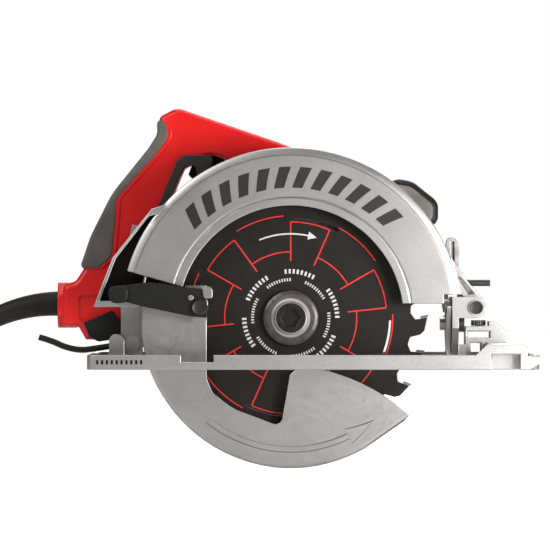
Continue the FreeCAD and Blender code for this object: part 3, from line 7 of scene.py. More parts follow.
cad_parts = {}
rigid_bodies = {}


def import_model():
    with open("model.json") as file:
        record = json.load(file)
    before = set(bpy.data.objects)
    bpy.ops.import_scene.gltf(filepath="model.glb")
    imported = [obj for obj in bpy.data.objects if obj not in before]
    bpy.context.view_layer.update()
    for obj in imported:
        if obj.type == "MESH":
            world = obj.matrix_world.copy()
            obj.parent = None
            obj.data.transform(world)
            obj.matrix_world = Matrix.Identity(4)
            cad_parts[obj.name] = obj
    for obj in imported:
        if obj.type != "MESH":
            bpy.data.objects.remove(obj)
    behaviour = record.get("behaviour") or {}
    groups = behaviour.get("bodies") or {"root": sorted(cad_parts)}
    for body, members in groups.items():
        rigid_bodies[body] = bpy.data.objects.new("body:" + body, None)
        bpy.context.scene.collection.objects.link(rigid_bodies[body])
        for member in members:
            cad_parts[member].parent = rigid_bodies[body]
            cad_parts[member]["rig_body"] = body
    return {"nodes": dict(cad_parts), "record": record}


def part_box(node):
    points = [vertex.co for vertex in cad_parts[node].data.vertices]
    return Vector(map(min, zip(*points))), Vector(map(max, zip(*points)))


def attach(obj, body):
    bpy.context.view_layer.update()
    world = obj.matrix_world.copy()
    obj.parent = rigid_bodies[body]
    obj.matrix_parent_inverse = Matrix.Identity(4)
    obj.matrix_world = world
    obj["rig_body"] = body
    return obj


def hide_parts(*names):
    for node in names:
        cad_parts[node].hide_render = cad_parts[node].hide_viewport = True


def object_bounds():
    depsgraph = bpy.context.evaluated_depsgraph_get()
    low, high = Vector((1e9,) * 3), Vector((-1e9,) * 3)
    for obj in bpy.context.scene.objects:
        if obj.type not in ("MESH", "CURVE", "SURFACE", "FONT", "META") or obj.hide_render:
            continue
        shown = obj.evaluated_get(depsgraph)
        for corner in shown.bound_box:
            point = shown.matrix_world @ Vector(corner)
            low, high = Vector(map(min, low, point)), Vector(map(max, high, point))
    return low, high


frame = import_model()
cad_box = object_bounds()

# Camera ----------------------------------------------------------------------------------------------------------
# It stands square to the blade's outer face, three metres off and level with the motor. Its long lens keeps the far
# side from shrinking.

CAMERA_PLACE = (-0.0105, -3.0, 0.0623)
CAMERA_LENS = 294.5
bpy.ops.object.camera_add(location=CAMERA_PLACE, rotation=(math.pi / 2, 0, 0))
camera = bpy.context.object
camera.name = "camera"
camera.data.lens = CAMERA_LENS
bpy.context.scene.camera = camera

# Mains lead ------------------------------------------------------------------------------------------------------
# A two-core rubber lead, 9 mm over its sheath and 3 m long. It leaves the strain relief behind the handle, falls to
# the surface and is wound into a neat coil of three layers, put away behind the saw's left side.

MM = 0.001
CORD_RADIUS = 4.5 * MM
CORD_EXIT = (-0.20999, 0.042, 0.0278)
FLOOR_Z = cad_box[0].z
CORD_FLOOR_Z = -0.06175
TURN_PITCH = 9.1 * MM
COIL_CENTRE = Vector((-0.278, 0.130, 0))
COIL_FIRST_RADIUS = 62.6 * MM
COIL_STEP = 20
COIL_CHANGE_OVER = 90
# Each change is (degrees turned, turns outwards, layers upwards) and is spread over the next 90 degrees.
COIL_CHANGES = (
    (270, -1, 0), (630, -1, 0), (900, 0, 1), (1170, 1, 0), (1530, 1, 0),
    (1800, 0, 1), (2070, -1, 0), (2430, -1, 0), (2740, 0, 1.49),
)
COIL_TURNED = 2960
PLUG_X = -0.2245
PLUG_START_Y = 0.134
PLUG_Z = -0.02995
PLUG_BEND_STEPS = 5
PLUG_BEND_STRIDE = 15.65 * MM


class Signal:
    """A number, vector or colour on a shader link; arithmetic on it adds Math nodes."""

    def __init__(self, finish, socket):
        self.finish = finish
        self.socket = socket

    def worked(self, operation, *values):
        return self.finish.node("Math", {"operation": operation}, dict(enumerate(values)))

    def __add__(self, other):
        return self.worked("ADD", self, other)

    def __sub__(self, other):
        return self.worked("SUBTRACT", self, other)

    def __rsub__(self, other):
        return self.worked("SUBTRACT", other, self)

    def __mul__(self, other):
        return self.worked("MULTIPLY", self, other)

    def __mod__(self, other):
        return self.worked("FLOORED_MODULO", self, other)

    def __rmod__(self, other):
        return self.worked("FLOORED_MODULO", other, self)

    def __lt__(self, other):
        return self.worked("LESS_THAN", self, other)

    def __gt__(self, other):
        return self.worked("GREATER_THAN", self, other)

    def __or__(self, other):
        return self.worked("MAXIMUM", self, other)

    def __and__(self, other):
        return self.worked("MULTIPLY", self, other)

    def __abs__(self):
        return self.worked("ABSOLUTE", self)

    __radd__ = __add__
    __rmul__ = __mul__
    __ror__ = __or__
    __rand__ = __and__


class Finish:
    """A procedural material. What is the same all over is set on the shader's own sockets."""

    def __init__(self, name, **fixed):
        self.material = bpy.data.materials.new(name)
        self.material.use_nodes = True
        self.tree = self.material.node_tree
        self.shader = self.tree.nodes["Principled BSDF"]
        for words, value in fixed.items():
            self.shader.inputs[words.replace("_", " ")].default_value = value
        self.place = self.node("TexCoord", {}, {}, "Object")

    def node(self, kind, settings, values, output=0):
        made = self.tree.nodes.new("ShaderNode" + kind)
        for setting, value in settings.items():
            setattr(made, setting, value)
        for socket, value in values.items():
            if isinstance(value, Signal):
                self.tree.links.new(value.socket, made.inputs[socket])
            else:
                made.inputs[socket].default_value = value
        return Signal(self, made.outputs[output])

    def drive(self, socket, signal):
        self.tree.links.new(signal.socket, self.shader.inputs[socket])

    def noise(self, per_metre, detail):
        return self.node("TexNoise", {}, {"Vector": self.place, "Scale": per_metre, "Detail": detail})

    def cells(self, per_metre):
        return self.node("TexVoronoi", {}, {"Vector": self.place, "Scale": per_metre}, "Distance")

    def spread(self, signal, low, high):
        """A 0 to 1 signal's middle half, stretched over low to high."""
        limits = {"Value": signal, "From Min": 0.3, "From Max": 0.7, "To Min": low, "To Max": high}
        return self.node("MapRange", {}, limits)

    def rise(self, signal, width):
        """Climbs smoothly from 0 to 1 while the signal goes from 0 to a width."""
        settings = {"interpolation_type": "SMOOTHSTEP"}
        return self.node("MapRange", settings, {"Value": signal, "From Min": 0.0, "From Max": width})

    def mix(self, share, first, second):
        """Two colours mixed; input sockets 6 and 7 are the Mix node's colours."""
        return self.node("Mix", {"data_type": "RGBA"}, {0: share, 6: first, 7: second}, 2)

    def clouded(self, per_metre, detail, first, second):
        """Two colours that run into each other in soft clouds."""
        return self.mix(self.spread(self.noise(per_metre, detail), 0, 1), first, second)

    def uneven_shine(self, per_metre, low, high):
        self.drive("Roughness", self.spread(self.noise(per_metre, 3), low, high))

    def bump(self, height, depth):
        self.drive("Normal", self.node("Bump", {}, {"Height": height, "Strength": 1.0, "Distance": depth}))

    def axes(self):
        """The place along X, Y and Z in millimetres."""
        parts = [self.node("SeparateXYZ", {}, {"Vector": self.place}, i) for i in range(3)]
        return [part * 1000 for part in parts]


def rubber(name, light, dark, grain=None):
    """Moulded rubber: a matt, slightly dusty skin, with a fine grain unless it gets a relief of its own."""
    made = Finish(name, Specular_IOR_Level=0.22)
    made.drive("Base Color", made.clouded(60, 4, dark, light))
    made.uneven_shine(220, 0.46, 0.62)
    if grain:
        made.bump(made.noise(grain, 3), 0.00008)
    return made


cord_rubber = rubber("cord_rubber", (0.014, 0.012, 0.011, 1), (0.009, 0.008, 0.007, 1), 1500)


SMOOTH_UP_TO = 35


def only(piece):
    """Leaves one object selected and active."""
    for other in bpy.context.selected_objects:
        other.select_set(False)
    piece.select_set(True)
    bpy.context.view_layer.objects.active = piece


def as_mesh(piece):
    """Turns a curve with its modifiers into a mesh with its place applied."""
    only(piece)
    bpy.ops.object.convert(target="MESH")
    bpy.ops.object.transform_apply(location=True, rotation=True, scale=True)
    return piece


def fitted(piece, finish, body, slot, *nodes):
    """Gives a piece its finish and its body, and lets it stand for the CAD nodes named; the slot is not used."""
    only(piece)
    if piece.type == "MESH":
        bpy.ops.object.shade_smooth_by_angle(angle=math.radians(SMOOTH_UP_TO))
        piece.modifiers.new("even_flats", "WEIGHTED_NORMAL").keep_sharp = True
        bpy.ops.object.modifier_apply(modifier="even_flats")
    piece.data.materials.clear()
    piece.data.materials.append(finish.material)
    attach(piece, body)
    if nodes:
        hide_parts(*nodes)
    return piece


def eased(share):
    """Goes smoothly from 0 to 1."""
    share = min(1.0, max(0.0, share))
    return share * share * (3 - 2 * share)


def coil_point(turned):
    """Where the lead's middle is after turning so many degrees round the coil."""
    outwards = sum(out * eased((turned - start) / COIL_CHANGE_OVER) for start, out, up in COIL_CHANGES)
    upwards = sum(up * eased((turned - start) / COIL_CHANGE_OVER) for start, out, up in COIL_CHANGES)
    radius = (COIL_FIRST_RADIUS + outwards * TURN_PITCH) / math.cos(math.radians(COIL_STEP / 2))
    angle = math.radians(180 - turned)
    x = COIL_CENTRE.x + radius * math.cos(angle)
    y = COIL_CENTRE.y + radius * math.sin(angle)
    return (x, y, CORD_FLOOR_Z + upwards * TURN_PITCH)


def line_through(name, points, radius):
    """A round tube along one NURBS line with these control points."""
    curve = bpy.data.curves.new(name, "CURVE")
    curve.dimensions = "3D"
    curve.resolution_u = 6
    curve.bevel_depth = radius
    curve.bevel_resolution = 5
    curve.use_fill_caps = True
    spline = curve.splines.new("NURBS")
    spline.points.add(len(points) - 1)
    for point, place in zip(spline.points, points):
        point.co = (*place, 1)
    spline.order_u = 3
    spline.use_endpoint_u = True
    piece = bpy.data.objects.new(name, curve)
    bpy.context.collection.objects.link(piece)
    return piece


cord_route = [
    CORD_EXIT,
    (-0.2465, 0.042, 0.0046),
    (-0.272, 0.044, -0.034),
    (-0.305, 0.053, CORD_FLOOR_Z),
    (-0.337, 0.083, CORD_FLOOR_Z),
]
cord_route += [coil_point(turned) for turned in range(0, COIL_TURNED + 1, COIL_STEP)]
plug_approach = [Vector((PLUG_X, PLUG_START_Y - 6.8 * MM, PLUG_Z))]
for i in range(PLUG_BEND_STEPS):
    heading = math.radians(90 + 22.5 * i)
    ahead = Vector((math.cos(heading), math.sin(heading), 0))
    plug_approach.append(plug_approach[-1] + ahead * PLUG_BEND_STRIDE)
cord_route += plug_approach[::-1]
lead = line_through("mains_lead", cord_route, CORD_RADIUS)
fitted(lead, cord_rubber, "saw_body", "cord_rubber", "power_cord", "cord_coil")

# Strain relief ---------------------------------------------------------------------------------------------------
# A tapered rubber sleeve moulded onto the lead and trapped by a collar inside the handle's tail. It bends downwards
# with the lead's weight.

BOOT_INSIDE_X = -0.1486
BOOT_START = Vector((-0.157, 0.042, 0.043))
BOOT_BEND_RADIUS = 0.100
BOOT_BEND = 32
BOOT_RADII = (8.5 * MM, 6.4 * MM)
BOOT_RINGS = 9


def boot_place(share):
    """A point on the sleeve's middle line, which bends down along an arc."""
    angle = math.radians(90 + BOOT_BEND * share)
    x = BOOT_START.x + BOOT_BEND_RADIUS * math.cos(angle)
    return (x, BOOT_START.y, BOOT_START.z - BOOT_BEND_RADIUS * (1 - math.sin(angle)))


def strain_relief():
    places = [(BOOT_INSIDE_X, BOOT_START.y, BOOT_START.z)]
    places += [boot_place(i / (BOOT_RINGS - 1)) for i in range(BOOT_RINGS)]
    piece = line_through("cord_boot_sleeve", places, BOOT_RADII[0])
    points = piece.data.splines[0].points
    for i, point in enumerate(points[1:]):
        share = i / (BOOT_RINGS - 1)
        point.radius = 1 + (BOOT_RADII[1] / BOOT_RADII[0] - 1) * share
    return as_mesh(piece)


def round_edges(piece, width, steps=2, angle=35, clamp=False):
    """Rounds every edge sharper than an angle."""
    only(piece)
    rounding = piece.modifiers.new("rounding", "BEVEL")
    rounding.width = width
    rounding.segments = steps
    rounding.limit_method = "ANGLE"
    rounding.angle_limit = math.radians(angle)
    rounding.use_clamp_overlap = clamp
    rounding.harden_normals = True
    bpy.ops.object.modifier_apply(modifier="rounding")
    return piece


boot = strain_relief()
round_edges(boot, 0.6 * MM)
fitted(boot, cord_rubber, "saw_body", "cord_rubber", "cord_boot")

# Mains plug ------------------------------------------------------------------------------------------------------
# A two-pole plug moulded in rubber round the end of the lead, with a finger hollow on each broad side and a ribbed
# neck. Its flat pins are stamped from brass and plated.

PLUG_NECK = 24 * MM
PLUG_BODY = 28 * MM
PLUG_HALF = (13 * MM, 8.8 * MM)
PLUG_HOLLOW_MARGIN = 4.5 * MM
PLUG_HOLLOW_SHARE = 0.72
NECK_RADII = (8.0 * MM, 5.2 * MM)
NECK_RINGS = 4
PIN_HALF = (0.75 * MM, 3.2 * MM)
PIN_LENGTH = 18 * MM
PIN_SPACING = 12.7 * MM


def box_between(name, low, high):
    """A block from its lowest to its highest corner."""
    middle = (Vector(low) + Vector(high)) / 2
    size = Vector(high) - Vector(low)
    bpy.ops.mesh.primitive_cube_add(size=1, location=middle, scale=size)
    piece = bpy.context.object
    piece.name = name
    bpy.ops.object.transform_apply(location=True, rotation=True, scale=True)
    return piece


def joined(name, *pieces):
    """Makes several meshes one."""
    only(pieces[0])
    for piece in pieces:
        piece.select_set(True)
    bpy.ops.object.join()
    pieces[0].name = name
    return pieces[0]


def pick_faces(piece, wanted):
    """Goes into edit mode with only the faces chosen by their centre and normal selected."""
    only(piece)
    bpy.ops.object.mode_set(mode="EDIT")
    bpy.ops.mesh.select_mode(type="FACE")
    bpy.ops.mesh.select_all(action="DESELECT")
    bpy.ops.object.mode_set(mode="OBJECT")
    for face in piece.data.polygons:
        face.select = wanted(face.center, face.normal)
    bpy.ops.object.mode_set(mode="EDIT")


def plug_body():
    end_y = PLUG_START_Y - PLUG_NECK
    low = (PLUG_X - PLUG_HALF[0], end_y - PLUG_BODY, PLUG_Z - PLUG_HALF[1])
    high = (PLUG_X + PLUG_HALF[0], end_y, PLUG_Z + PLUG_HALF[1])
    body = box_between("plug_body", low, high)
    pick_faces(body, lambda middle, normal: abs(normal.z) > 0.9)
    bpy.ops.mesh.inset(thickness=PLUG_HOLLOW_MARGIN, use_individual=True)
    bpy.ops.transform.resize(value=(1, 1, PLUG_HOLLOW_SHARE), center_override=(PLUG_X, end_y, PLUG_Z))
    bpy.ops.object.mode_set(mode="OBJECT")
    return round_edges(body, 2.4 * MM, 4, clamp=True)


def plug_neck():
    bpy.ops.mesh.primitive_cone_add(
        vertices=40,
        radius1=NECK_RADII[0],
        radius2=NECK_RADII[1],
        depth=PLUG_NECK,
        location=(PLUG_X, PLUG_START_Y - PLUG_NECK / 2, PLUG_Z),
        rotation=(-math.pi / 2, 0, 0),
    )
    neck = bpy.context.object
    rings = []
    for i in range(NECK_RINGS):
        bpy.ops.mesh.primitive_torus_add(
            major_radius=(7.5 - 0.55 * i) * MM,
            minor_radius=0.9 * MM,
            major_segments=40,
            minor_segments=10,
            location=(PLUG_X, PLUG_START_Y - PLUG_NECK + (4 + 4.6 * i) * MM, PLUG_Z),
            rotation=(math.pi / 2, 0, 0),
        )
        rings.append(bpy.context.object)
    neck = joined("plug_neck", neck, *rings)
    bpy.ops.object.transform_apply(location=True, rotation=True, scale=True)
    return neck


def plug_pins():
    start_y = PLUG_START_Y - PLUG_NECK - PLUG_BODY
    pins = []
    for side in (-1, 1):
        middle = PLUG_X + side * PIN_SPACING / 2
        low = (middle - PIN_HALF[0], start_y - PIN_LENGTH, PLUG_Z - PIN_HALF[1])
        high = (middle + PIN_HALF[0], start_y + MM, PLUG_Z + PIN_HALF[1])
        pins.append(box_between("pin", low, high))
    return round_edges(joined("plug_pins", *pins), 0.5 * MM, 3)


def metal(name, colour, roughness, metallic=1.0):
    """Bare or plated metal with a slightly uneven shine."""
    made = Finish(name, Metallic=metallic)
    darker = tuple(0.9 * part for part in colour[:3]) + (1,)
    made.drive("Base Color", made.clouded(60, 3, darker, colour))
    made.uneven_shine(80, roughness - 0.02, roughness + 0.04)
    made.bump(made.noise(130, 1), 0.00001)
    return made


brass = metal("brass", (0.78, 0.62, 0.34, 1), roughness=0.28)
plug = plug_body()
fitted(plug, cord_rubber, "saw_body", "cord_rubber", "mains_plug")
neck = fitted(plug_neck(), cord_rubber, "saw_body", "cord_rubber")
pins = fitted(plug_pins(), brass, "saw_body", "brass")

# Studio ----------------------------------------------------------------------------------------------------------
# A plain pale floor under a white surround. A soft light stands low on the right, and larger ones above, on the
# left and behind.

bpy.ops.mesh.primitive_plane_add(size=30, location=(0, 0, FLOOR_Z))
floor = bpy.context.object
floor.name = "floor"
pale = Finish("pale_floor", Base_Color=(0.8, 0.8, 0.8, 1), Roughness=0.9, Emission_Strength=0.95)
seen = pale.node("LightPath", {}, {}, "Is Camera Ray")
pale.drive("Emission Color", pale.mix(seen, (0, 0, 0, 1), (1, 1, 1, 1)))
floor.data.materials.append(pale.material)


SAW_MIDDLE = Vector((0, 0, 0.05))


def soft_light(name, place, size, power):
    """A large square light turned towards the middle of the saw."""
    place = Vector(place)
    turned = (SAW_MIDDLE - place).to_track_quat("-Z", "Y").to_euler()
    bpy.ops.object.light_add(type="AREA", location=place, rotation=turned)
    light = bpy.context.object
    light.name = name
    light.data.size = size
    light.data.energy = power


soft_light("light_right", (0.42, -0.42, 0.07), size=0.25, power=4.6)
soft_light("light_above", (0.1, 0.05, 1.2), size=0.8, power=6.3)
soft_light("light_left", (-1.1, -0.9, 1.1), size=1.0, power=17)
soft_light("light_behind", (0.3, 1.5, 0.9), size=1.2, power=20)

SURROUND_SEEN = 1.0
SURROUND_ON_THE_SAW = 0.07
surround = bpy.data.worlds.new("surround")
surround.use_nodes = True
bpy.context.scene.world = surround
bpy.context.scene.view_settings.view_transform = "Standard"
tree = surround.node_tree
ray = tree.nodes.new("ShaderNodeLightPath")
lit = tree.nodes.new("ShaderNodeMapRange")
lit.inputs["To Min"].default_value = SURROUND_ON_THE_SAW
lit.inputs["To Max"].default_value = SURROUND_SEEN
tree.links.new(ray.outputs["Is Camera Ray"], lit.inputs["Value"])
tree.links.new(lit.outputs[0], tree.nodes["Background"].inputs["Strength"])
tree.nodes["Background"].inputs["Color"].default_value = (1, 1, 1, 1)

# Gear case -------------------------------------------------------------------------------------------------------
# A die-cast magnesium box behind the guard that carries the spindle's bearings and the reduction gears. It is
# blasted after casting and bored; four screws hold it to the motor.


def cast(name, colour, roughness):
    """Blasted light-alloy casting: satin and very finely pitted."""
    made = Finish(name, Metallic=1.0)
    darker = tuple(0.92 * part for part in colour[:3]) + (1,)
    made.drive("Base Color", made.clouded(600, 3, darker, colour))
    made.uneven_shine(45, roughness - 0.01, roughness + 0.03)
    made.bump(made.noise(1400, 3), 0.00003)
    return made


def pulled_in(piece, node, reach):
    """Puts back on the node's surface the few corners that rounding threw off it."""
    low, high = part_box(node)
    for corner in piece.data.vertices:
        spot = frame["nodes"][node].closest_point_on_mesh(corner.co)[1]
        past = any(not low[i] <= corner.co[i] <= high[i] for i in range(3))
        if past or (spot - corner.co).length > reach:
            corner.co = spot


def cut_away(piece, cutter):
    """Takes one mesh away from another."""
    only(piece)
    cut = piece.modifiers.new("cut", "BOOLEAN")
    cut.operation = "DIFFERENCE"
    cut.solver = "EXACT"
    cut.object = cutter
    bpy.ops.object.modifier_apply(modifier="cut")
    bpy.data.objects.remove(cutter)
    return piece


def softened(node, name, finish, slot, edge, steps=2, cutter=None):
    """A merged copy of a CAD node, cut if need be, with its sharp edges rounded; it stands for the node."""
    original = frame["nodes"][node]
    piece = bpy.data.objects.new(name, original.data.copy())
    bpy.context.collection.objects.link(piece)
    only(piece)
    bpy.ops.object.mode_set(mode="EDIT")
    bpy.ops.mesh.select_all(action="SELECT")
    bpy.ops.mesh.remove_doubles(threshold=0.01 * MM)
    bpy.ops.mesh.dissolve_limited(angle_limit=math.radians(0.5))
    bpy.ops.object.mode_set(mode="OBJECT")
    if cutter:
        cut_away(piece, cutter)
    if edge:
        round_edges(piece, edge * MM, steps)
        pulled_in(piece, node, edge * MM)
    return fitted(piece, finish, original["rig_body"], slot, node)


cast_magnesium = cast("cast_magnesium", (0.50, 0.49, 0.47, 1), roughness=0.40)
softened("gear_case", "gear_case_casting", cast_magnesium, "cast_magnesium", edge=0.6)

# Motor housing and end cap ---------------------------------------------------------------------------------------
# The housing is a tube of glass-filled red nylon with cooling ribs along it; the cap is black nylon with a ring of
# vents. Both are injection moulded, and long screws clamp them to the gear case.

MOTOR = (-7.97, 63.50)
HOUSING_RADIUS = 46.0
RIB_ANGLES = (*range(20, 61, 8), *range(-40, -3, 9))
RIB_LOW = (-0.0011, 0.064, 0)
RIB_HIGH = (0.0011, 0.096, 0.0016)
RIB_SUNK = 0.7
CAP_SCREW_ANGLES = (45, 135, 225, 315)
CAP_SCREW_CIRCLE = 38.0
CAP_SCREW_Y = 0.1345
CAP_SCREW_RADIUS = 3.0
CAP_SCREW_HEIGHT = 2.0
CAP_SCREW_RIM = 1.4
CAP_SCREW_SOCKET_DEPTH = 1.0


def nylon(name, colour, roughness, coat):
    """Injection-moulded nylon with a light sheen and a faint spark-eroded texture."""
    made = Finish(name, Coat_Weight=coat, Coat_Roughness=0.22, Specular_IOR_Level=0.28)
    darker = tuple(0.88 * part for part in colour[:3]) + (1,)
    made.drive("Base Color", made.clouded(25, 3, darker, colour))
    made.uneven_shine(300, roughness - 0.04, roughness + 0.08)
    made.bump(made.noise(2200, 2), 0.00002)
    return made


red_nylon = nylon("red_nylon", (0.46, 0.009, 0.009, 1), roughness=0.36, coat=0.2)
black_nylon = nylon("black_nylon", (0.008, 0.0075, 0.007, 1), roughness=0.5, coat=0.0)
dark_steel = metal("dark_steel", (0.055, 0.050, 0.047, 1), roughness=0.4, metallic=0.5)
softened("motor_housing", "motor_housing_tube", red_nylon, "red_nylon", edge=0.5)
softened("motor_end_cap", "motor_cap", black_nylon, "black_nylon", edge=0.5)


def housing_ribs():
    ribs = []
    middle = Vector((MOTOR[0], 0, MOTOR[1])) * MM
    for angle in RIB_ANGLES:
        turn = math.radians(angle)
        rib = box_between("rib", RIB_LOW, RIB_HIGH)
        out = Vector((math.cos(turn), 0, math.sin(turn)))
        base = Matrix.Translation(middle + out * (HOUSING_RADIUS - RIB_SUNK) * MM)
        rib.matrix_world = base @ Matrix.Rotation(math.pi / 2 - turn, 4, "Y")
        ribs.append(rib)
    ribs = joined("motor_ribs", *ribs)
    bpy.ops.object.transform_apply(location=True, rotation=True, scale=True)
    return round_edges(ribs, 0.6 * MM)


fitted(housing_ribs(), red_nylon, "saw_body", "red_nylon")


def cap_screws():
    screws = []
    for angle in CAP_SCREW_ANGLES:
        turn = math.radians(angle)
        x = (MOTOR[0] + CAP_SCREW_CIRCLE * math.cos(turn)) * MM
        z = (MOTOR[1] + CAP_SCREW_CIRCLE * math.sin(turn)) * MM
        bpy.ops.mesh.primitive_cylinder_add(
            vertices=24,
            radius=CAP_SCREW_RADIUS * MM,
            depth=CAP_SCREW_HEIGHT * MM,
            location=(x, CAP_SCREW_Y, z),
            rotation=(math.pi / 2, 0, 0),
        )
        screws.append(bpy.context.object)
    screws = joined("cap_screws", *screws)
    bpy.ops.object.transform_apply(location=True, rotation=True, scale=True)
    pick_faces(screws, lambda middle, normal: normal.y > 0.9)
    bpy.ops.mesh.inset(thickness=CAP_SCREW_RIM * MM, use_individual=True)
    bpy.ops.transform.translate(value=(0, -CAP_SCREW_SOCKET_DEPTH * MM, 0))
    bpy.ops.object.mode_set(mode="OBJECT")
    return round_edges(screws, 0.3 * MM)


fitted(cap_screws(), dark_steel, "saw_body", "dark_steel")

# Upper guard -----------------------------------------------------------------------------------------------------
# One magnesium casting covers the blade's upper half and throws the chips out of a chute at the back. Its outer
# face is machined, then blasted; a row of slanted raised bars runs round it where the face is widest.

ARBOR_Z = 33.75
GUARD_FACE_Y = -13.4
RIM_LINE_RADIUS = 108.3
RIM_LINE_HALF = 0.35
# Painted shade darkens the chute inside, from one wall in from its edges: (x, z) on an edge and the way in from
# there.
CHUTE_INSIDE_Y = (-9.5, 11.5)
CHUTE_FRONT_X = -84
CHUTE_FLOOR_Z = 8.0
CHUTE_EDGES = ((-118.5, 73.7, 0.932, -0.362), (-92.5, 106.3, 0.782, -0.6235))
CHUTE_WALL = 1.2
BAR_BAND = (86.5, 100.5)
BAR_ANGLES = (42, 138)
BAR_EVERY = 8.0
BAR_SHARE = 0.56
BAR_SLANT = 0.22
WALL_END_LOW = (0.070, -0.001, 0.030)
WALL_END_HIGH = (0.103, 0.0140, 0.0433)


def polar(finish):
    """Distance in millimetres and angle in degrees about the arbor, and the three axes from the arbor."""
    x, y, z = finish.axes()
    z = z - ARBOR_Z
    squared = x * x + z * z
    distance = squared.worked("POWER", squared, 0.5)
    angle = x.worked("ARCTAN2", z, x) * (180 / math.pi)
    return distance, angle, x, y, z


def between(signal, low, high):
    return (signal > low) & (signal < high)


def guard_finish():
    made = Finish("guard_magnesium", Metallic=1.0)
    distance, angle, x, y, z = polar(made)
    bar = ((angle + distance * BAR_SLANT) % BAR_EVERY) < BAR_EVERY * BAR_SHARE
    band = between(distance, *BAR_BAND) & between(angle, *BAR_ANGLES) & (y < GUARD_FACE_Y) & bar
    # Painted shade: the chute's inside, one wall in from its edges, is coloured dark where shadow falls.
    inside = between(y, *CHUTE_INSIDE_Y) & (x < CHUTE_FRONT_X) & (z > CHUTE_FLOOR_Z)
    for edge_x, edge_z, across, down in CHUTE_EDGES:
        inside = inside & ((x - edge_x) * across + (z - (edge_z - ARBOR_Z)) * down > CHUTE_WALL)
    plain = made.clouded(600, 3, (0.46, 0.445, 0.43, 1), (0.50, 0.485, 0.47, 1))
    plain = made.mix(inside, plain, (0.040, 0.036, 0.033, 1))
    # A thin groove round the face's edge, also darkened with painted shade.
    rim_groove_shade = (abs(distance - RIM_LINE_RADIUS) < RIM_LINE_HALF) & (y < -12)
    plain = made.mix(rim_groove_shade * 0.6, plain, (0.12, 0.115, 0.11, 1))
    made.drive("Base Color", made.mix(band * 0.9, plain, (0.03, 0.027, 0.025, 1)))
    made.uneven_shine(45, 0.41, 0.45)
    made.bump((band - rim_groove_shade) * 8 + made.noise(1400, 3), 0.00003)
    return made


# The left wall stops level with the face's front edge, so daylight shows past the blade there.
wall_end = box_between("wall_end", WALL_END_LOW, WALL_END_HIGH)
softened("upper_guard", "upper_guard_casting", guard_finish(), "cast_magnesium", edge=0.6, cutter=wall_end)

# Spindle, flanges and blade bolt ---------------------------------------------------------------------------------
# The bolt clamps the blade between two turned steel flanges on the hardened spindle. The washer is blackened; the
# bolt head's rim is bright where the wrench has worn it.

BOLT_WORN = (9.9, 10.8)
FLANGE_WORN = (10.6, 13.0)
LATHE_LINES = 2.2


def flange_finish():
    made = Finish("turned_flange", Metallic=0.8)
    distance, angle, x, y, z = polar(made)
    worn = between(distance, *FLANGE_WORN)
    turned = made.clouded(200, 3, (0.085, 0.08, 0.076, 1), (0.12, 0.112, 0.106, 1))
    made.drive("Base Color", made.mix(worn, turned, (0.46, 0.43, 0.41, 1)))
    made.uneven_shine(300, 0.36, 0.46)
    made.bump((distance * LATHE_LINES) % 1, 0.00003)
    return made


softened("outer_flange", "outer_washer", flange_finish(), "dark_steel", edge=0.4)


def bolt_finish():
    made = Finish("bolt_steel", Metallic=0.9)
    distance, angle, x, y, z = polar(made)
    worn = between(distance, *BOLT_WORN)
    made.drive("Base Color", made.mix(worn, (0.05, 0.047, 0.045, 1), (0.52, 0.49, 0.47, 1)))
    made.uneven_shine(900, 0.26, 0.4)
    made.bump(made.noise(1500, 2), 0.00001)
    return made


softened("blade_bolt", "arbor_bolt", bolt_finish(), "dark_steel", edge=0.35)

# Blade -----------------------------------------------------------------------------------------------------------
# A laser-cut steel disc with a dark non-stick coat, tensioned and ground; its printed graphics are a plain ornament
# of red lines with rings of white marks. The carbide tips are brazed on and ground to size.

BLADE_PRINT_Y = -0.85
REPEAT = 60
SPOKE_AT = 12
SPOKE_RADII = (38, 64)
SPOKE_HALF = 0.45
ARC_HALF = 0.4
# Each arc is (radius, from, to), in degrees from the middle of its sixth of the blade, the same on both sides.
ARCS = ((64, -1, 12), (44, 12, 31), (68, 16, 31))
# Each ring of marks is (inner radius, outer radius, turned, degrees apart, degrees wide, degrees of each sixth).
MARK_RINGS = ((29.5, 32.5, 0, 5, 2.6, 38), (24.5, 26.5, 30, 4, 2.0, 40))
TURN_ARROW_RADIUS = 56
TURN_ARROW_ANGLES = (72, 78, 112)


def blade_finish():
    made = Finish("blade_coat", Specular_IOR_Level=0.27)
    distance, angle, x, y, z = polar(made)
    side = y < BLADE_PRINT_Y
    fold = abs(((angle + 12) % REPEAT) - REPEAT / 2)
    across = abs(fold - SPOKE_AT) * distance * (math.pi / 180)
    red = (across < SPOKE_HALF) & between(distance, *SPOKE_RADII)
    for radius, start, end in ARCS:
        red = red | ((abs(distance - radius) < ARC_HALF) & between(fold, start, end))
    tip, neck, tail = TURN_ARROW_ANGLES
    off = abs(distance - TURN_ARROW_RADIUS)
    white = (off < 0.5) & between(angle, neck, tail)
    white = white | (between(angle, tip, neck) & (off < (angle - tip) * 0.45))
    for inner, outer, turned, apart, wide, length in MARK_RINGS:
        along = angle + turned
        white = white | (between(distance, inner, outer) & ((along % apart) < wide) & ((along % REPEAT) < length))
    coat = made.clouded(60, 4, (0.009, 0.0065, 0.005, 1), (0.013, 0.010, 0.008, 1))
    printed = made.mix(red & side, coat, (0.62, 0.030, 0.022, 1))
    made.drive("Base Color", made.mix(white & side, printed, (0.55, 0.54, 0.52, 1)))
    made.uneven_shine(500, 0.36, 0.5)
    made.bump(made.noise(700, 2), 0.00001)
    return made


blade_coat = blade_finish()
carbide = metal("carbide", (0.40, 0.38, 0.36, 1), roughness=0.3)
softened("blade", "blade_disc", blade_coat, "blade_steel", edge=0.12, steps=1)
softened("blade_tips", "carbide_tips", carbide, "carbide", edge=0.1, steps=1)

# Lower guard -----------------------------------------------------------------------------------------------------
# The swinging guard is pressed and rolled from thin aluminium, with a satin finish. A raised arrow round its face
# shows the way the blade turns; a spring inside its hub pulls it shut.

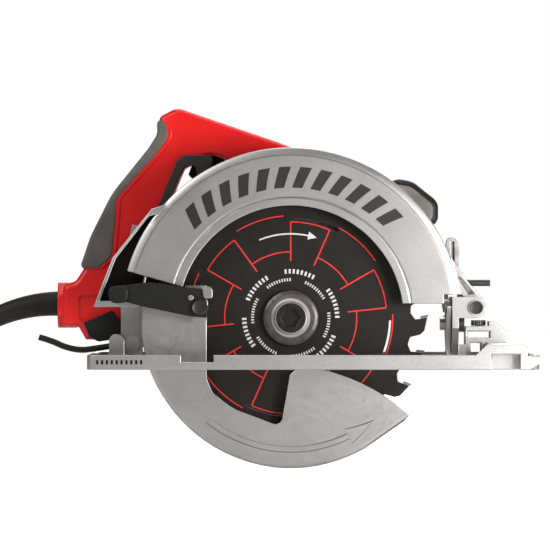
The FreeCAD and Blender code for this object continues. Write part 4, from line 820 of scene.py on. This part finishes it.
ARROW_RADIUS = 87.4
ARROW_TAIL = -129
ARROW_NECK = -64
ARROW_TIP = -50


def swing_guard_finish():
    made = Finish("satin_sheet", Metallic=1.0)
    distance, angle, x, y, z = polar(made)
    off = abs(distance - ARROW_RADIUS)
    shaft = made.rise(2.4 - off, 1.1) & between(angle, ARROW_TAIL, ARROW_NECK + 0.5)
    head = made.rise((ARROW_TIP - angle) * 0.42 - off, 1.1) & (angle > ARROW_NECK)
    raised = (shaft | head) & (y < -8)
    plain = made.clouded(30, 4, (0.45, 0.435, 0.42, 1), (0.51, 0.495, 0.48, 1))
    # Painted shade darkens the slopes round the raised arrow's edges.
    made.drive("Base Color", made.mix(raised * (1 - raised) * 2.4, plain, (0.20, 0.19, 0.18, 1)))
    made.uneven_shine(350, 0.36, 0.46)
    made.bump(raised * 22 + made.noise(900, 3), 0.00003)
    return made


satin_sheet = swing_guard_finish()
softened("lower_guard", "swing_guard_shell", satin_sheet, "guard_sheet", edge=0.4)

# Guard lever -----------------------------------------------------------------------------------------------------
# A moulded black nylon lever with a thumb pad lifts the lower guard. Bright steel tabs behind it are riveted to the
# guard's ear, and one dark hexagon-socket bolt goes through both.

LEVER = [
    (-120.0, 54.5, 3), (-94.0, 57.5, 20), (-74.0, 54.5, 20), (-56.5, 53.0, 3), (-54.8, 33.8, 2),
    (-67.0, 35.0, 4), (-96.0, 41.0, 20), (-115.0, 46.0, 4), (-121.0, 50.5, 3),
]
LEVER_THUMB = [(-122.0, 55.0, 5), (-107.0, 55.5, 4), (-108.0, 44.0, 4), (-120.0, 43.5, 5)]
LEVER_Y = (-21.0, -16.5)
LEVER_THUMB_Y = (-24.0, -14.7)
LEVER_RIVET = (-66.2, 47.3)
LEVER_BOLT = (-60.2, 40.7)
LEVER_TAB = [(-58.8, 54.6, 0.6), (-52.0, 54.6, 2.6), (-52.0, 46.9, 1), (-57.5, 46.9, 1.4)]
LEVER_TAB_Y = (-22.0, -16.5)
LEVER_LOW_TAB = [(-65, 34.7), (-55.6, 34.7), (-55.6, 31.6), (-65, 31.6)]
LEVER_LOW_TAB_Y = (-17.6, -16.2)


CORNER_STEPS = 6


def rounded(corners):
    """An outline's points in metres; a corner's third number is its radius."""
    points = []
    for i, corner in enumerate(corners):
        here = Vector(corner[:2])
        radius = corner[2] if len(corner) > 2 else 0
        before = (Vector(corners[i - 1][:2]) - here).normalized()
        after = (Vector(corners[(i + 1) % len(corners)][:2]) - here).normalized()
        half = before.angle(after) / 2
        if radius == 0 or half > 1.54:
            points.append(here * MM)
            continue
        middle = here + (before + after).normalized() * radius / math.sin(half)
        start = here + before * radius / math.tan(half) - middle
        end = here + after * radius / math.tan(half) - middle
        swept = start.angle_signed(end)
        for k in range(CORNER_STEPS + 1):
            turned = start.copy()
            turned.rotate(Matrix.Rotation(-swept * k / CORNER_STEPS, 2))
            points.append((middle + turned) * MM)
    return points


def wound(points, anticlockwise):
    """The points in the order that goes round the way wanted."""
    area = sum(a.x * b.y - b.x * a.y for a, b in zip(points, points[1:] + points[:1]))
    return points if (area > 0) == anticlockwise else points[::-1]


def slab(name, outlines, y, rounding, steps=3):
    """A plate between two Y values; the first outline is its edge and the others are holes."""
    curve = bpy.data.curves.new(name, "CURVE")
    curve.dimensions = "2D"
    curve.fill_mode = "BOTH"
    for i, corners in enumerate(outlines):
        points = wound(rounded(corners), i == 0)
        spline = curve.splines.new("POLY")
        spline.points.add(len(points) - 1)
        for point, place in zip(spline.points, points):
            point.co = (*place, 0, 1)
        spline.use_cyclic_u = True
    curve.extrude = ((y[1] - y[0]) / 2 - rounding) * MM
    curve.bevel_depth = rounding * MM
    curve.bevel_resolution = steps
    curve.offset = -rounding * MM
    piece = bpy.data.objects.new(name, curve)
    bpy.context.collection.objects.link(piece)
    piece.location = (0, (y[0] + y[1]) / 2 * MM, 0)
    piece.rotation_euler = (math.pi / 2, 0, 0)
    bpy.context.view_layer.update()
    as_mesh(piece)
    bpy.ops.object.mode_set(mode="EDIT")
    bpy.ops.mesh.select_all(action="SELECT")
    bpy.ops.mesh.remove_doubles(threshold=0.01 * MM)
    bpy.ops.mesh.normals_make_consistent(inside=False)
    bpy.ops.object.mode_set(mode="OBJECT")
    return piece


def bolt_head(name, place, y, radius, socket, depth=1.6):
    """A round screw head facing right, with a round sunk socket."""
    bpy.ops.mesh.primitive_cylinder_add(
        vertices=48,
        radius=radius * MM,
        depth=(y[1] - y[0]) * MM,
        location=(place[0] * MM, (y[0] + y[1]) / 2 * MM, place[1] * MM),
        rotation=(math.pi / 2, 0, 0),
    )
    head = bpy.context.object
    head.name = name
    bpy.ops.object.transform_apply(location=True, rotation=True, scale=True)
    pick_faces(head, lambda middle, normal: normal.y < -0.9)
    bpy.ops.mesh.inset(thickness=(radius - socket) * MM)
    bpy.ops.transform.translate(value=(0, depth * MM, 0))
    bpy.ops.object.mode_set(mode="OBJECT")
    return round_edges(head, 0.4 * MM, 3)


bright_steel = metal("bright_steel", (0.62, 0.60, 0.58, 1), roughness=0.34)
black_oxide = metal("black_oxide", (0.012, 0.011, 0.010, 1), roughness=0.48, metallic=0.1)
lever_arm = slab("lever_arm", [LEVER], LEVER_Y, rounding=1.0)
lever_thumb = slab("lever_thumb", [LEVER_THUMB], LEVER_THUMB_Y, rounding=1.8)
fitted(joined("guard_lever_arm", lever_arm, lever_thumb), black_nylon, "swing_guard", "black_nylon", "guard_lever")
tab = slab("lever_tab", [LEVER_TAB], LEVER_TAB_Y, rounding=0.3)
low_tab = slab("lever_low_tab", [LEVER_LOW_TAB], LEVER_LOW_TAB_Y, rounding=0.2)
fitted(joined("lever_tabs", tab, low_tab), bright_steel, "swing_guard", "bright_steel")
rivet = bolt_head("lever_rivet", LEVER_RIVET, y=(-22.2, -16.0), radius=1.8, socket=0.8, depth=0.2)
fitted(rivet, bright_steel, "swing_guard", "bright_steel")
lever_bolt = bolt_head("lever_bolt", LEVER_BOLT, y=(-23.6, -16.0), radius=5.2, socket=2.4)
fitted(lever_bolt, black_oxide, "swing_guard", "dark_steel", "guard_lever_bolts")

# Foot and front bracket ------------------------------------------------------------------------------------------
# The cast magnesium foot has turned-up edges and a row of black printed marks at the back of its right rail. It
# hangs on a cast bracket, which pivots on one blackened hexagon-socket bolt.

MARKS_X = (-128.0, -96.0)
MARKS_Z = (3.6, 6.4)
MARKS_EVERY = 3.2
MARKS_WIDTH = 1.5
RAIL_FACE_Y = -45.6
PIVOT = (123.1, 40.7)


def foot_finish():
    made = Finish("foot_magnesium", Metallic=1.0)
    x, y, z = made.axes()
    mark = ((x % MARKS_EVERY) < MARKS_WIDTH) & between(x, *MARKS_X) & between(z, *MARKS_Z) & (y < RAIL_FACE_Y)
    plain = made.clouded(600, 3, (0.45, 0.435, 0.42, 1), (0.50, 0.485, 0.47, 1))
    made.drive("Base Color", made.mix(mark, plain, (0.03, 0.03, 0.03, 1)))
    made.uneven_shine(45, 0.42, 0.46)
    made.bump(made.noise(1300, 3), 0.00003)
    return made


softened("foot_plate", "foot_casting", foot_finish(), "cast_magnesium", edge=0.6)
softened("front_bracket", "front_bracket_casting", cast_magnesium, "cast_magnesium", edge=0.3)
pivot_bolt = bolt_head("pivot_bolt", PIVOT, y=(-19.2, -17.0), radius=4.3, socket=2.2, depth=0.9)
fitted(pivot_bolt, black_oxide, frame["nodes"]["depth_pivot_pin"]["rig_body"], "dark_steel")

# Clamps and levers -----------------------------------------------------------------------------------------------
# Plated steel arc, quadrant and clamp levers set the depth and the tilt. They are blanked from sheet and tumbled;
# the bars are cold-bent rod.

PADDLE_GROOVE_X = 109.0
PADDLE_GROOVE_Z = (71.5, 85.0)


def paddle_finish():
    """Plated steel in soft clouds of tone, with a groove down the thumb pad."""
    made = Finish("paddle_steel", Metallic=1.0)
    x, y, z = made.axes()
    groove = made.rise(1.6 - abs(x - PADDLE_GROOVE_X), 1.2) & between(z, *PADDLE_GROOVE_Z)
    plain = made.clouded(160, 3, (0.30, 0.29, 0.28, 1), (0.46, 0.45, 0.43, 1))
    # The groove is darkened with painted shade.
    made.drive("Base Color", made.mix(groove * 0.8, plain, (0.08, 0.075, 0.07, 1)))
    made.uneven_shine(80, 0.36, 0.44)
    made.bump(groove * -1, 0.0006)
    return made


softened("depth_arc", "depth_arc_plate", bright_steel, "bright_steel", edge=0.3)
softened("bevel_quadrant", "quadrant_plate", bright_steel, "bright_steel", edge=0.3)
softened("bevel_lever", "bevel_clamp_lever", dark_steel, "dark_steel", edge=0.2)
softened("bevel_stop_lever", "stop_paddle", paddle_finish(), "bright_steel", edge=0.4)
softened("rip_guide_screw", "thumb_screw", dark_steel, "dark_steel", edge=0.2)

DEPTH_BAR = [(-104, 17.0), (-112, 16.0), (-131, 13.0), (-141, 11.6), (-152, 14.0), (-160, 18.0), (-169, 20.6)]
DEPTH_BAR_Y = 21.9
DEPTH_BAR_RADIUS = 2.1
DEPTH_HUB = (-105.7, 17.0)
DEPTH_THUMB = [(-112.5, 33.0, 2), (-112.5, 20.0, 2), (-129.0, 17.5, 4), (-135.0, 20.5, 4), (-138.8, 29.6, 1.5)]
GROOVED_EDGE_START = Vector((-138.2, 31.0))
GROOVED_EDGE = Vector((17.6, 7.6))
THUMB_GROOVES = 6
GROOVE_WIDTH = Vector((1.9, 0))
for i in range(THUMB_GROOVES + 1):
    ridge = GROOVED_EDGE_START + GROOVED_EDGE * i / THUMB_GROOVES
    DEPTH_THUMB.append(tuple(ridge))
    if i < THUMB_GROOVES:
        DEPTH_THUMB.append(tuple(ridge + GROOVE_WIDTH))
DEPTH_THUMB += [(-118.5, 37.0, 1.5), (-117.0, 33.0, 1)]
bar_line = [Vector((x, DEPTH_BAR_Y, z)) * MM for x, z in DEPTH_BAR]
bar = as_mesh(line_through("depth_bar", bar_line, DEPTH_BAR_RADIUS * MM))
hub = bolt_head("depth_hub", DEPTH_HUB, y=(19.6, 24.0), radius=7.0, socket=3.0)
thumb = slab("depth_thumb", [DEPTH_THUMB], (20.2, 24.0), rounding=0.4)
fitted(joined("depth_clamp_bar", bar, hub, thumb), black_nylon, "depth_clamp", "black_nylon", "depth_lever")

# Rear handle -----------------------------------------------------------------------------------------------------
# Two injection-moulded halves of red nylon meet on a parting line in the middle and are screwed together round the
# switch. The tail has a moulded collar for the lead and a sunk panel on its side.

HANDLE_Y = (25.0, 59.0)
HANDLE = [
    (-151.5, 27.3, 4), (-154.5, 31.0, 4), (-153.0, 55.3, 4), (-144.5, 58.3, 5), (-139.3, 66.3, 8),
    (-132.5, 88.5, 60), (-118.0, 116.5, 60), (-94.5, 145.5, 12), (-87.5, 157.0, 12), (-88.8, 168.5, 5),
    (-76.0, 175.0, 9), (-10.5, 152.6, 9), (3.0, 147.5, 5), (3.0, 62.0), (-20.0, 30.0),
    (-128.0, 27.3, 1), (-131.0, 18.8, 1.5), (-137.8, 18.8, 2), (-142.5, 27.3, 2),
]
HOLE = [
    (-104.0, 62.0, 10), (-40.0, 62.0, 6), (-30.0, 100.0, 30), (-30.0, 134.5, 9), (-53.0, 143.5, 11),
    (-71.5, 134.0, 5), (-84.0, 104.0, 40),
]
TAIL_PANEL = [(-142.5, 49.0, 3), (-112.0, 49.0, 3), (-112.0, 31.5, 3), (-142.5, 31.5, 3)]
TAIL_PANEL_Y = (20.0, 26.2)
PARTING_Y = 42
BORE_GAP = 0.3
BORE_Y = (20, 80)
COLLAR_RADIUS = 16.6
COLLAR_LENGTH = 15.0
COLLAR_MIDDLE = (-0.1504, 0.042, 0.0420)
COLLAR_RIM = 5.4
COLLAR_MOUTH_DEPTH = 5.0


def handle_red():
    made = Finish("handle_red", Coat_Weight=0.2, Coat_Roughness=0.25, Specular_IOR_Level=0.3)
    x, y, z = made.axes()
    parting = abs(y - PARTING_Y) < 0.3
    made.drive("Base Color", made.clouded(25, 3, (0.66, 0.009, 0.009, 1), (0.74, 0.013, 0.013, 1)))
    made.uneven_shine(300, 0.3, 0.42)
    made.bump(parting * -12 + made.noise(2200, 2), 0.00002)
    return made


def housing_bore():
    """A cylinder just wider than the motor housing, to cut what wraps round it."""
    bpy.ops.mesh.primitive_cylinder_add(
        vertices=96,
        radius=(HOUSING_RADIUS + BORE_GAP) * MM,
        depth=(BORE_Y[1] - BORE_Y[0]) * MM,
        location=(MOTOR[0] * MM, sum(BORE_Y) / 2 * MM, MOTOR[1] * MM),
        rotation=(math.pi / 2, 0, 0),
    )
    return bpy.context.object


handle_nylon = handle_red()
handle = slab("handle_shells", [HANDLE, HOLE], HANDLE_Y, rounding=4.0, steps=5)
cut_away(handle, housing_bore())
cut_away(handle, slab("panel", [TAIL_PANEL], TAIL_PANEL_Y, rounding=0.5))
fitted(handle, handle_nylon, "saw_body", "red_nylon", "handle_shell_right", "handle_shell_left")


def inlet_collar():
    """An eight-sided collar with a sunk mouth."""
    bpy.ops.mesh.primitive_cylinder_add(
        vertices=8,
        radius=COLLAR_RADIUS * MM,
        depth=COLLAR_LENGTH * MM,
        location=COLLAR_MIDDLE,
        rotation=(0, math.pi / 2, 0),
    )
    collar = bpy.context.object
    collar.name = "inlet_collar"
    bpy.ops.transform.rotate(value=math.pi / 8, orient_axis="X", center_override=COLLAR_MIDDLE)
    bpy.ops.object.transform_apply(location=True, rotation=True, scale=True)
    pick_faces(collar, lambda middle, normal: normal.x < -0.9)
    bpy.ops.mesh.inset(thickness=COLLAR_RIM * MM)
    bpy.ops.transform.translate(value=(COLLAR_MOUTH_DEPTH * MM, 0, 0))
    bpy.ops.object.mode_set(mode="OBJECT")
    return round_edges(collar, 2.0 * MM, 4, 25)


fitted(inlet_collar(), handle_nylon, "saw_body", "red_nylon")

# Soft grip and heel ----------------------------------------------------------------------------------------------
# The grip is pebbled thermoplastic rubber moulded over the back of the handle; the heel is a pad of the same stuff
# pressed onto two studs.

GRIP_Y = (23.5, 60.5)
GRIP = [
    (-142.0, 66.5, 3), (-134.5, 88.5, 60), (-120.2, 117.0, 60), (-96.0, 147.0, 12), (-89.6, 157.0, 10),
    (-90.0, 167.5, 3), (-84.0, 166.0, 4), (-80.5, 156.0, 10), (-90.0, 143.0, 12), (-116.5, 113.0, 8),
    (-117.0, 99.0, 20), (-119.5, 74.0, 10), (-129.0, 66.0, 5),
]
GRIP_LIP = 2.4
LIP_Y = (GRIP_Y[0] + 0.7, GRIP_Y[1] - 0.7)
HEEL_Y = (27.0, 57.0)
HEEL = [(-137.5, 27.0, 2), (-118.5, 27.0, 2), (-116.0, 24.0, 2), (-121.0, 19.0, 4), (-134.0, 19.5, 5)]
soft_grip = rubber("soft_grip", (0.135, 0.121, 0.110, 1), (0.094, 0.084, 0.075, 1))
soft_grip.bump(soft_grip.cells(700), 0.00016)
lip = slab("grip_lip", [[(x + GRIP_LIP, z, *radius) for x, z, *radius in GRIP]], LIP_Y, rounding=1.2, steps=4)
fitted(lip, handle_nylon, "saw_body", "red_nylon")
grip = slab("soft_grip_skin", [GRIP], GRIP_Y, rounding=2.4, steps=4)
fitted(grip, soft_grip, "saw_body", "soft_grip", "handle_grip")
heel = slab("heel_pad", [HEEL], HEEL_Y, rounding=1.6, steps=4)
fitted(heel, soft_grip, "saw_body", "soft_grip", "heel_bumper")

# Trigger ---------------------------------------------------------------------------------------------------------
# The trigger is moulded from black nylon, with a full round where the finger lies. It turns on a steel pin that the
# two handle halves hold between them.

softened("trigger", "trigger_moulding", black_nylon, "black_nylon", edge=0.9, steps=3)

# Blade wrench ----------------------------------------------------------------------------------------------------
# The wrench for the blade bolt is stamped from steel plate, blackened, and tumbled until its edges are dull. It is
# kept beside the handle's right face and comes off sideways.

softened("blade_wrench", "wrench_plate", dark_steel, "dark_steel", edge=0.4)

# Front knob ------------------------------------------------------------------------------------------------------
# The auxiliary handle is a hollow black nylon knob on an arm that two screws hold to the motor housing. Its inner
# face is a paler, rougher pad with a smooth rim round it.

KNOB = [
    (52.0, 121.0, 4), (72.8, 127.0, 8), (82.0, 125.5, 14), (99.5, 111.5, 9), (99.3, 98.0, 7), (88.0, 90.5, 8),
    (52.0, 92.0, 4),
]
KNOB_Y = (26.0, 64.0)
KNOB_INSET = [
    (58.0, 119.5, 5), (73.0, 123.2, 8), (81.0, 121.8, 12), (95.8, 109.6, 7), (95.6, 99.6, 6), (86.5, 94.2, 7),
    (58.0, 95.6, 4),
]
KNOB_INSET_Y = (25.4, 30.0)
ARM_Y = (36.0, 54.0)
ARM = [
    (30.0, 92.0, 3), (18.0, 104.0), (24.0, 109.0, 6), (62.0, 119.0, 8), (80.0, 112.0, 4), (80.0, 96.0, 6),
    (50.0, 88.0, 10), (41.0, 74.0, 2), (34.0, 66.0),
]
knob = slab("front_knob", [KNOB], KNOB_Y, rounding=5.0, steps=6)
arm = slab("knob_arm", [ARM], ARM_Y, rounding=2.0)
cut_away(arm, housing_bore())
fitted(knob, black_nylon, "saw_body", "black_nylon", "front_handle")
fitted(arm, black_nylon, "saw_body", "black_nylon")
inner = slab("knob_inner_face", [KNOB_INSET], KNOB_INSET_Y, rounding=1.2)
knob_face = rubber("knob_face", (0.17, 0.155, 0.14, 1), (0.115, 0.105, 0.095, 1), 900)
fitted(inner, knob_face, "saw_body", "black_nylon")

# Everything inside -----------------------------------------------------------------------------------------------
# The motor, gears, bearings, pins and screws are turned, stamped, wound or moulded parts that are hidden or hardly
# seen. They keep their CAD shapes, and each gets the finish of its own material slot.

FINISHES = {
    "cast_magnesium": cast_magnesium,
    "guard_sheet": satin_sheet,
    "red_nylon": red_nylon,
    "black_nylon": black_nylon,
    "soft_grip": soft_grip,
    "blade_steel": blade_coat,
    "carbide": carbide,
    "dark_steel": dark_steel,
    "bright_steel": bright_steel,
    "gear_steel": metal("gear_steel", (0.46, 0.45, 0.44, 1), roughness=0.3),
    "laminated_steel": metal("laminated_steel", (0.30, 0.29, 0.28, 1), roughness=0.45),
    "copper": metal("copper", (0.72, 0.32, 0.16, 1), roughness=0.3),
    "carbon": rubber("carbon", (0.03, 0.03, 0.03, 1), (0.018, 0.018, 0.018, 1), 1800),
    "brass": brass,
    "cord_rubber": cord_rubber,
}
slot_of = {part["node"]: part["material_slot"] for part in frame["record"]["subparts"]}
for name, node in frame["nodes"].items():
    for place in node.material_slots:
        place.material = FINISHES[slot_of[name]].material
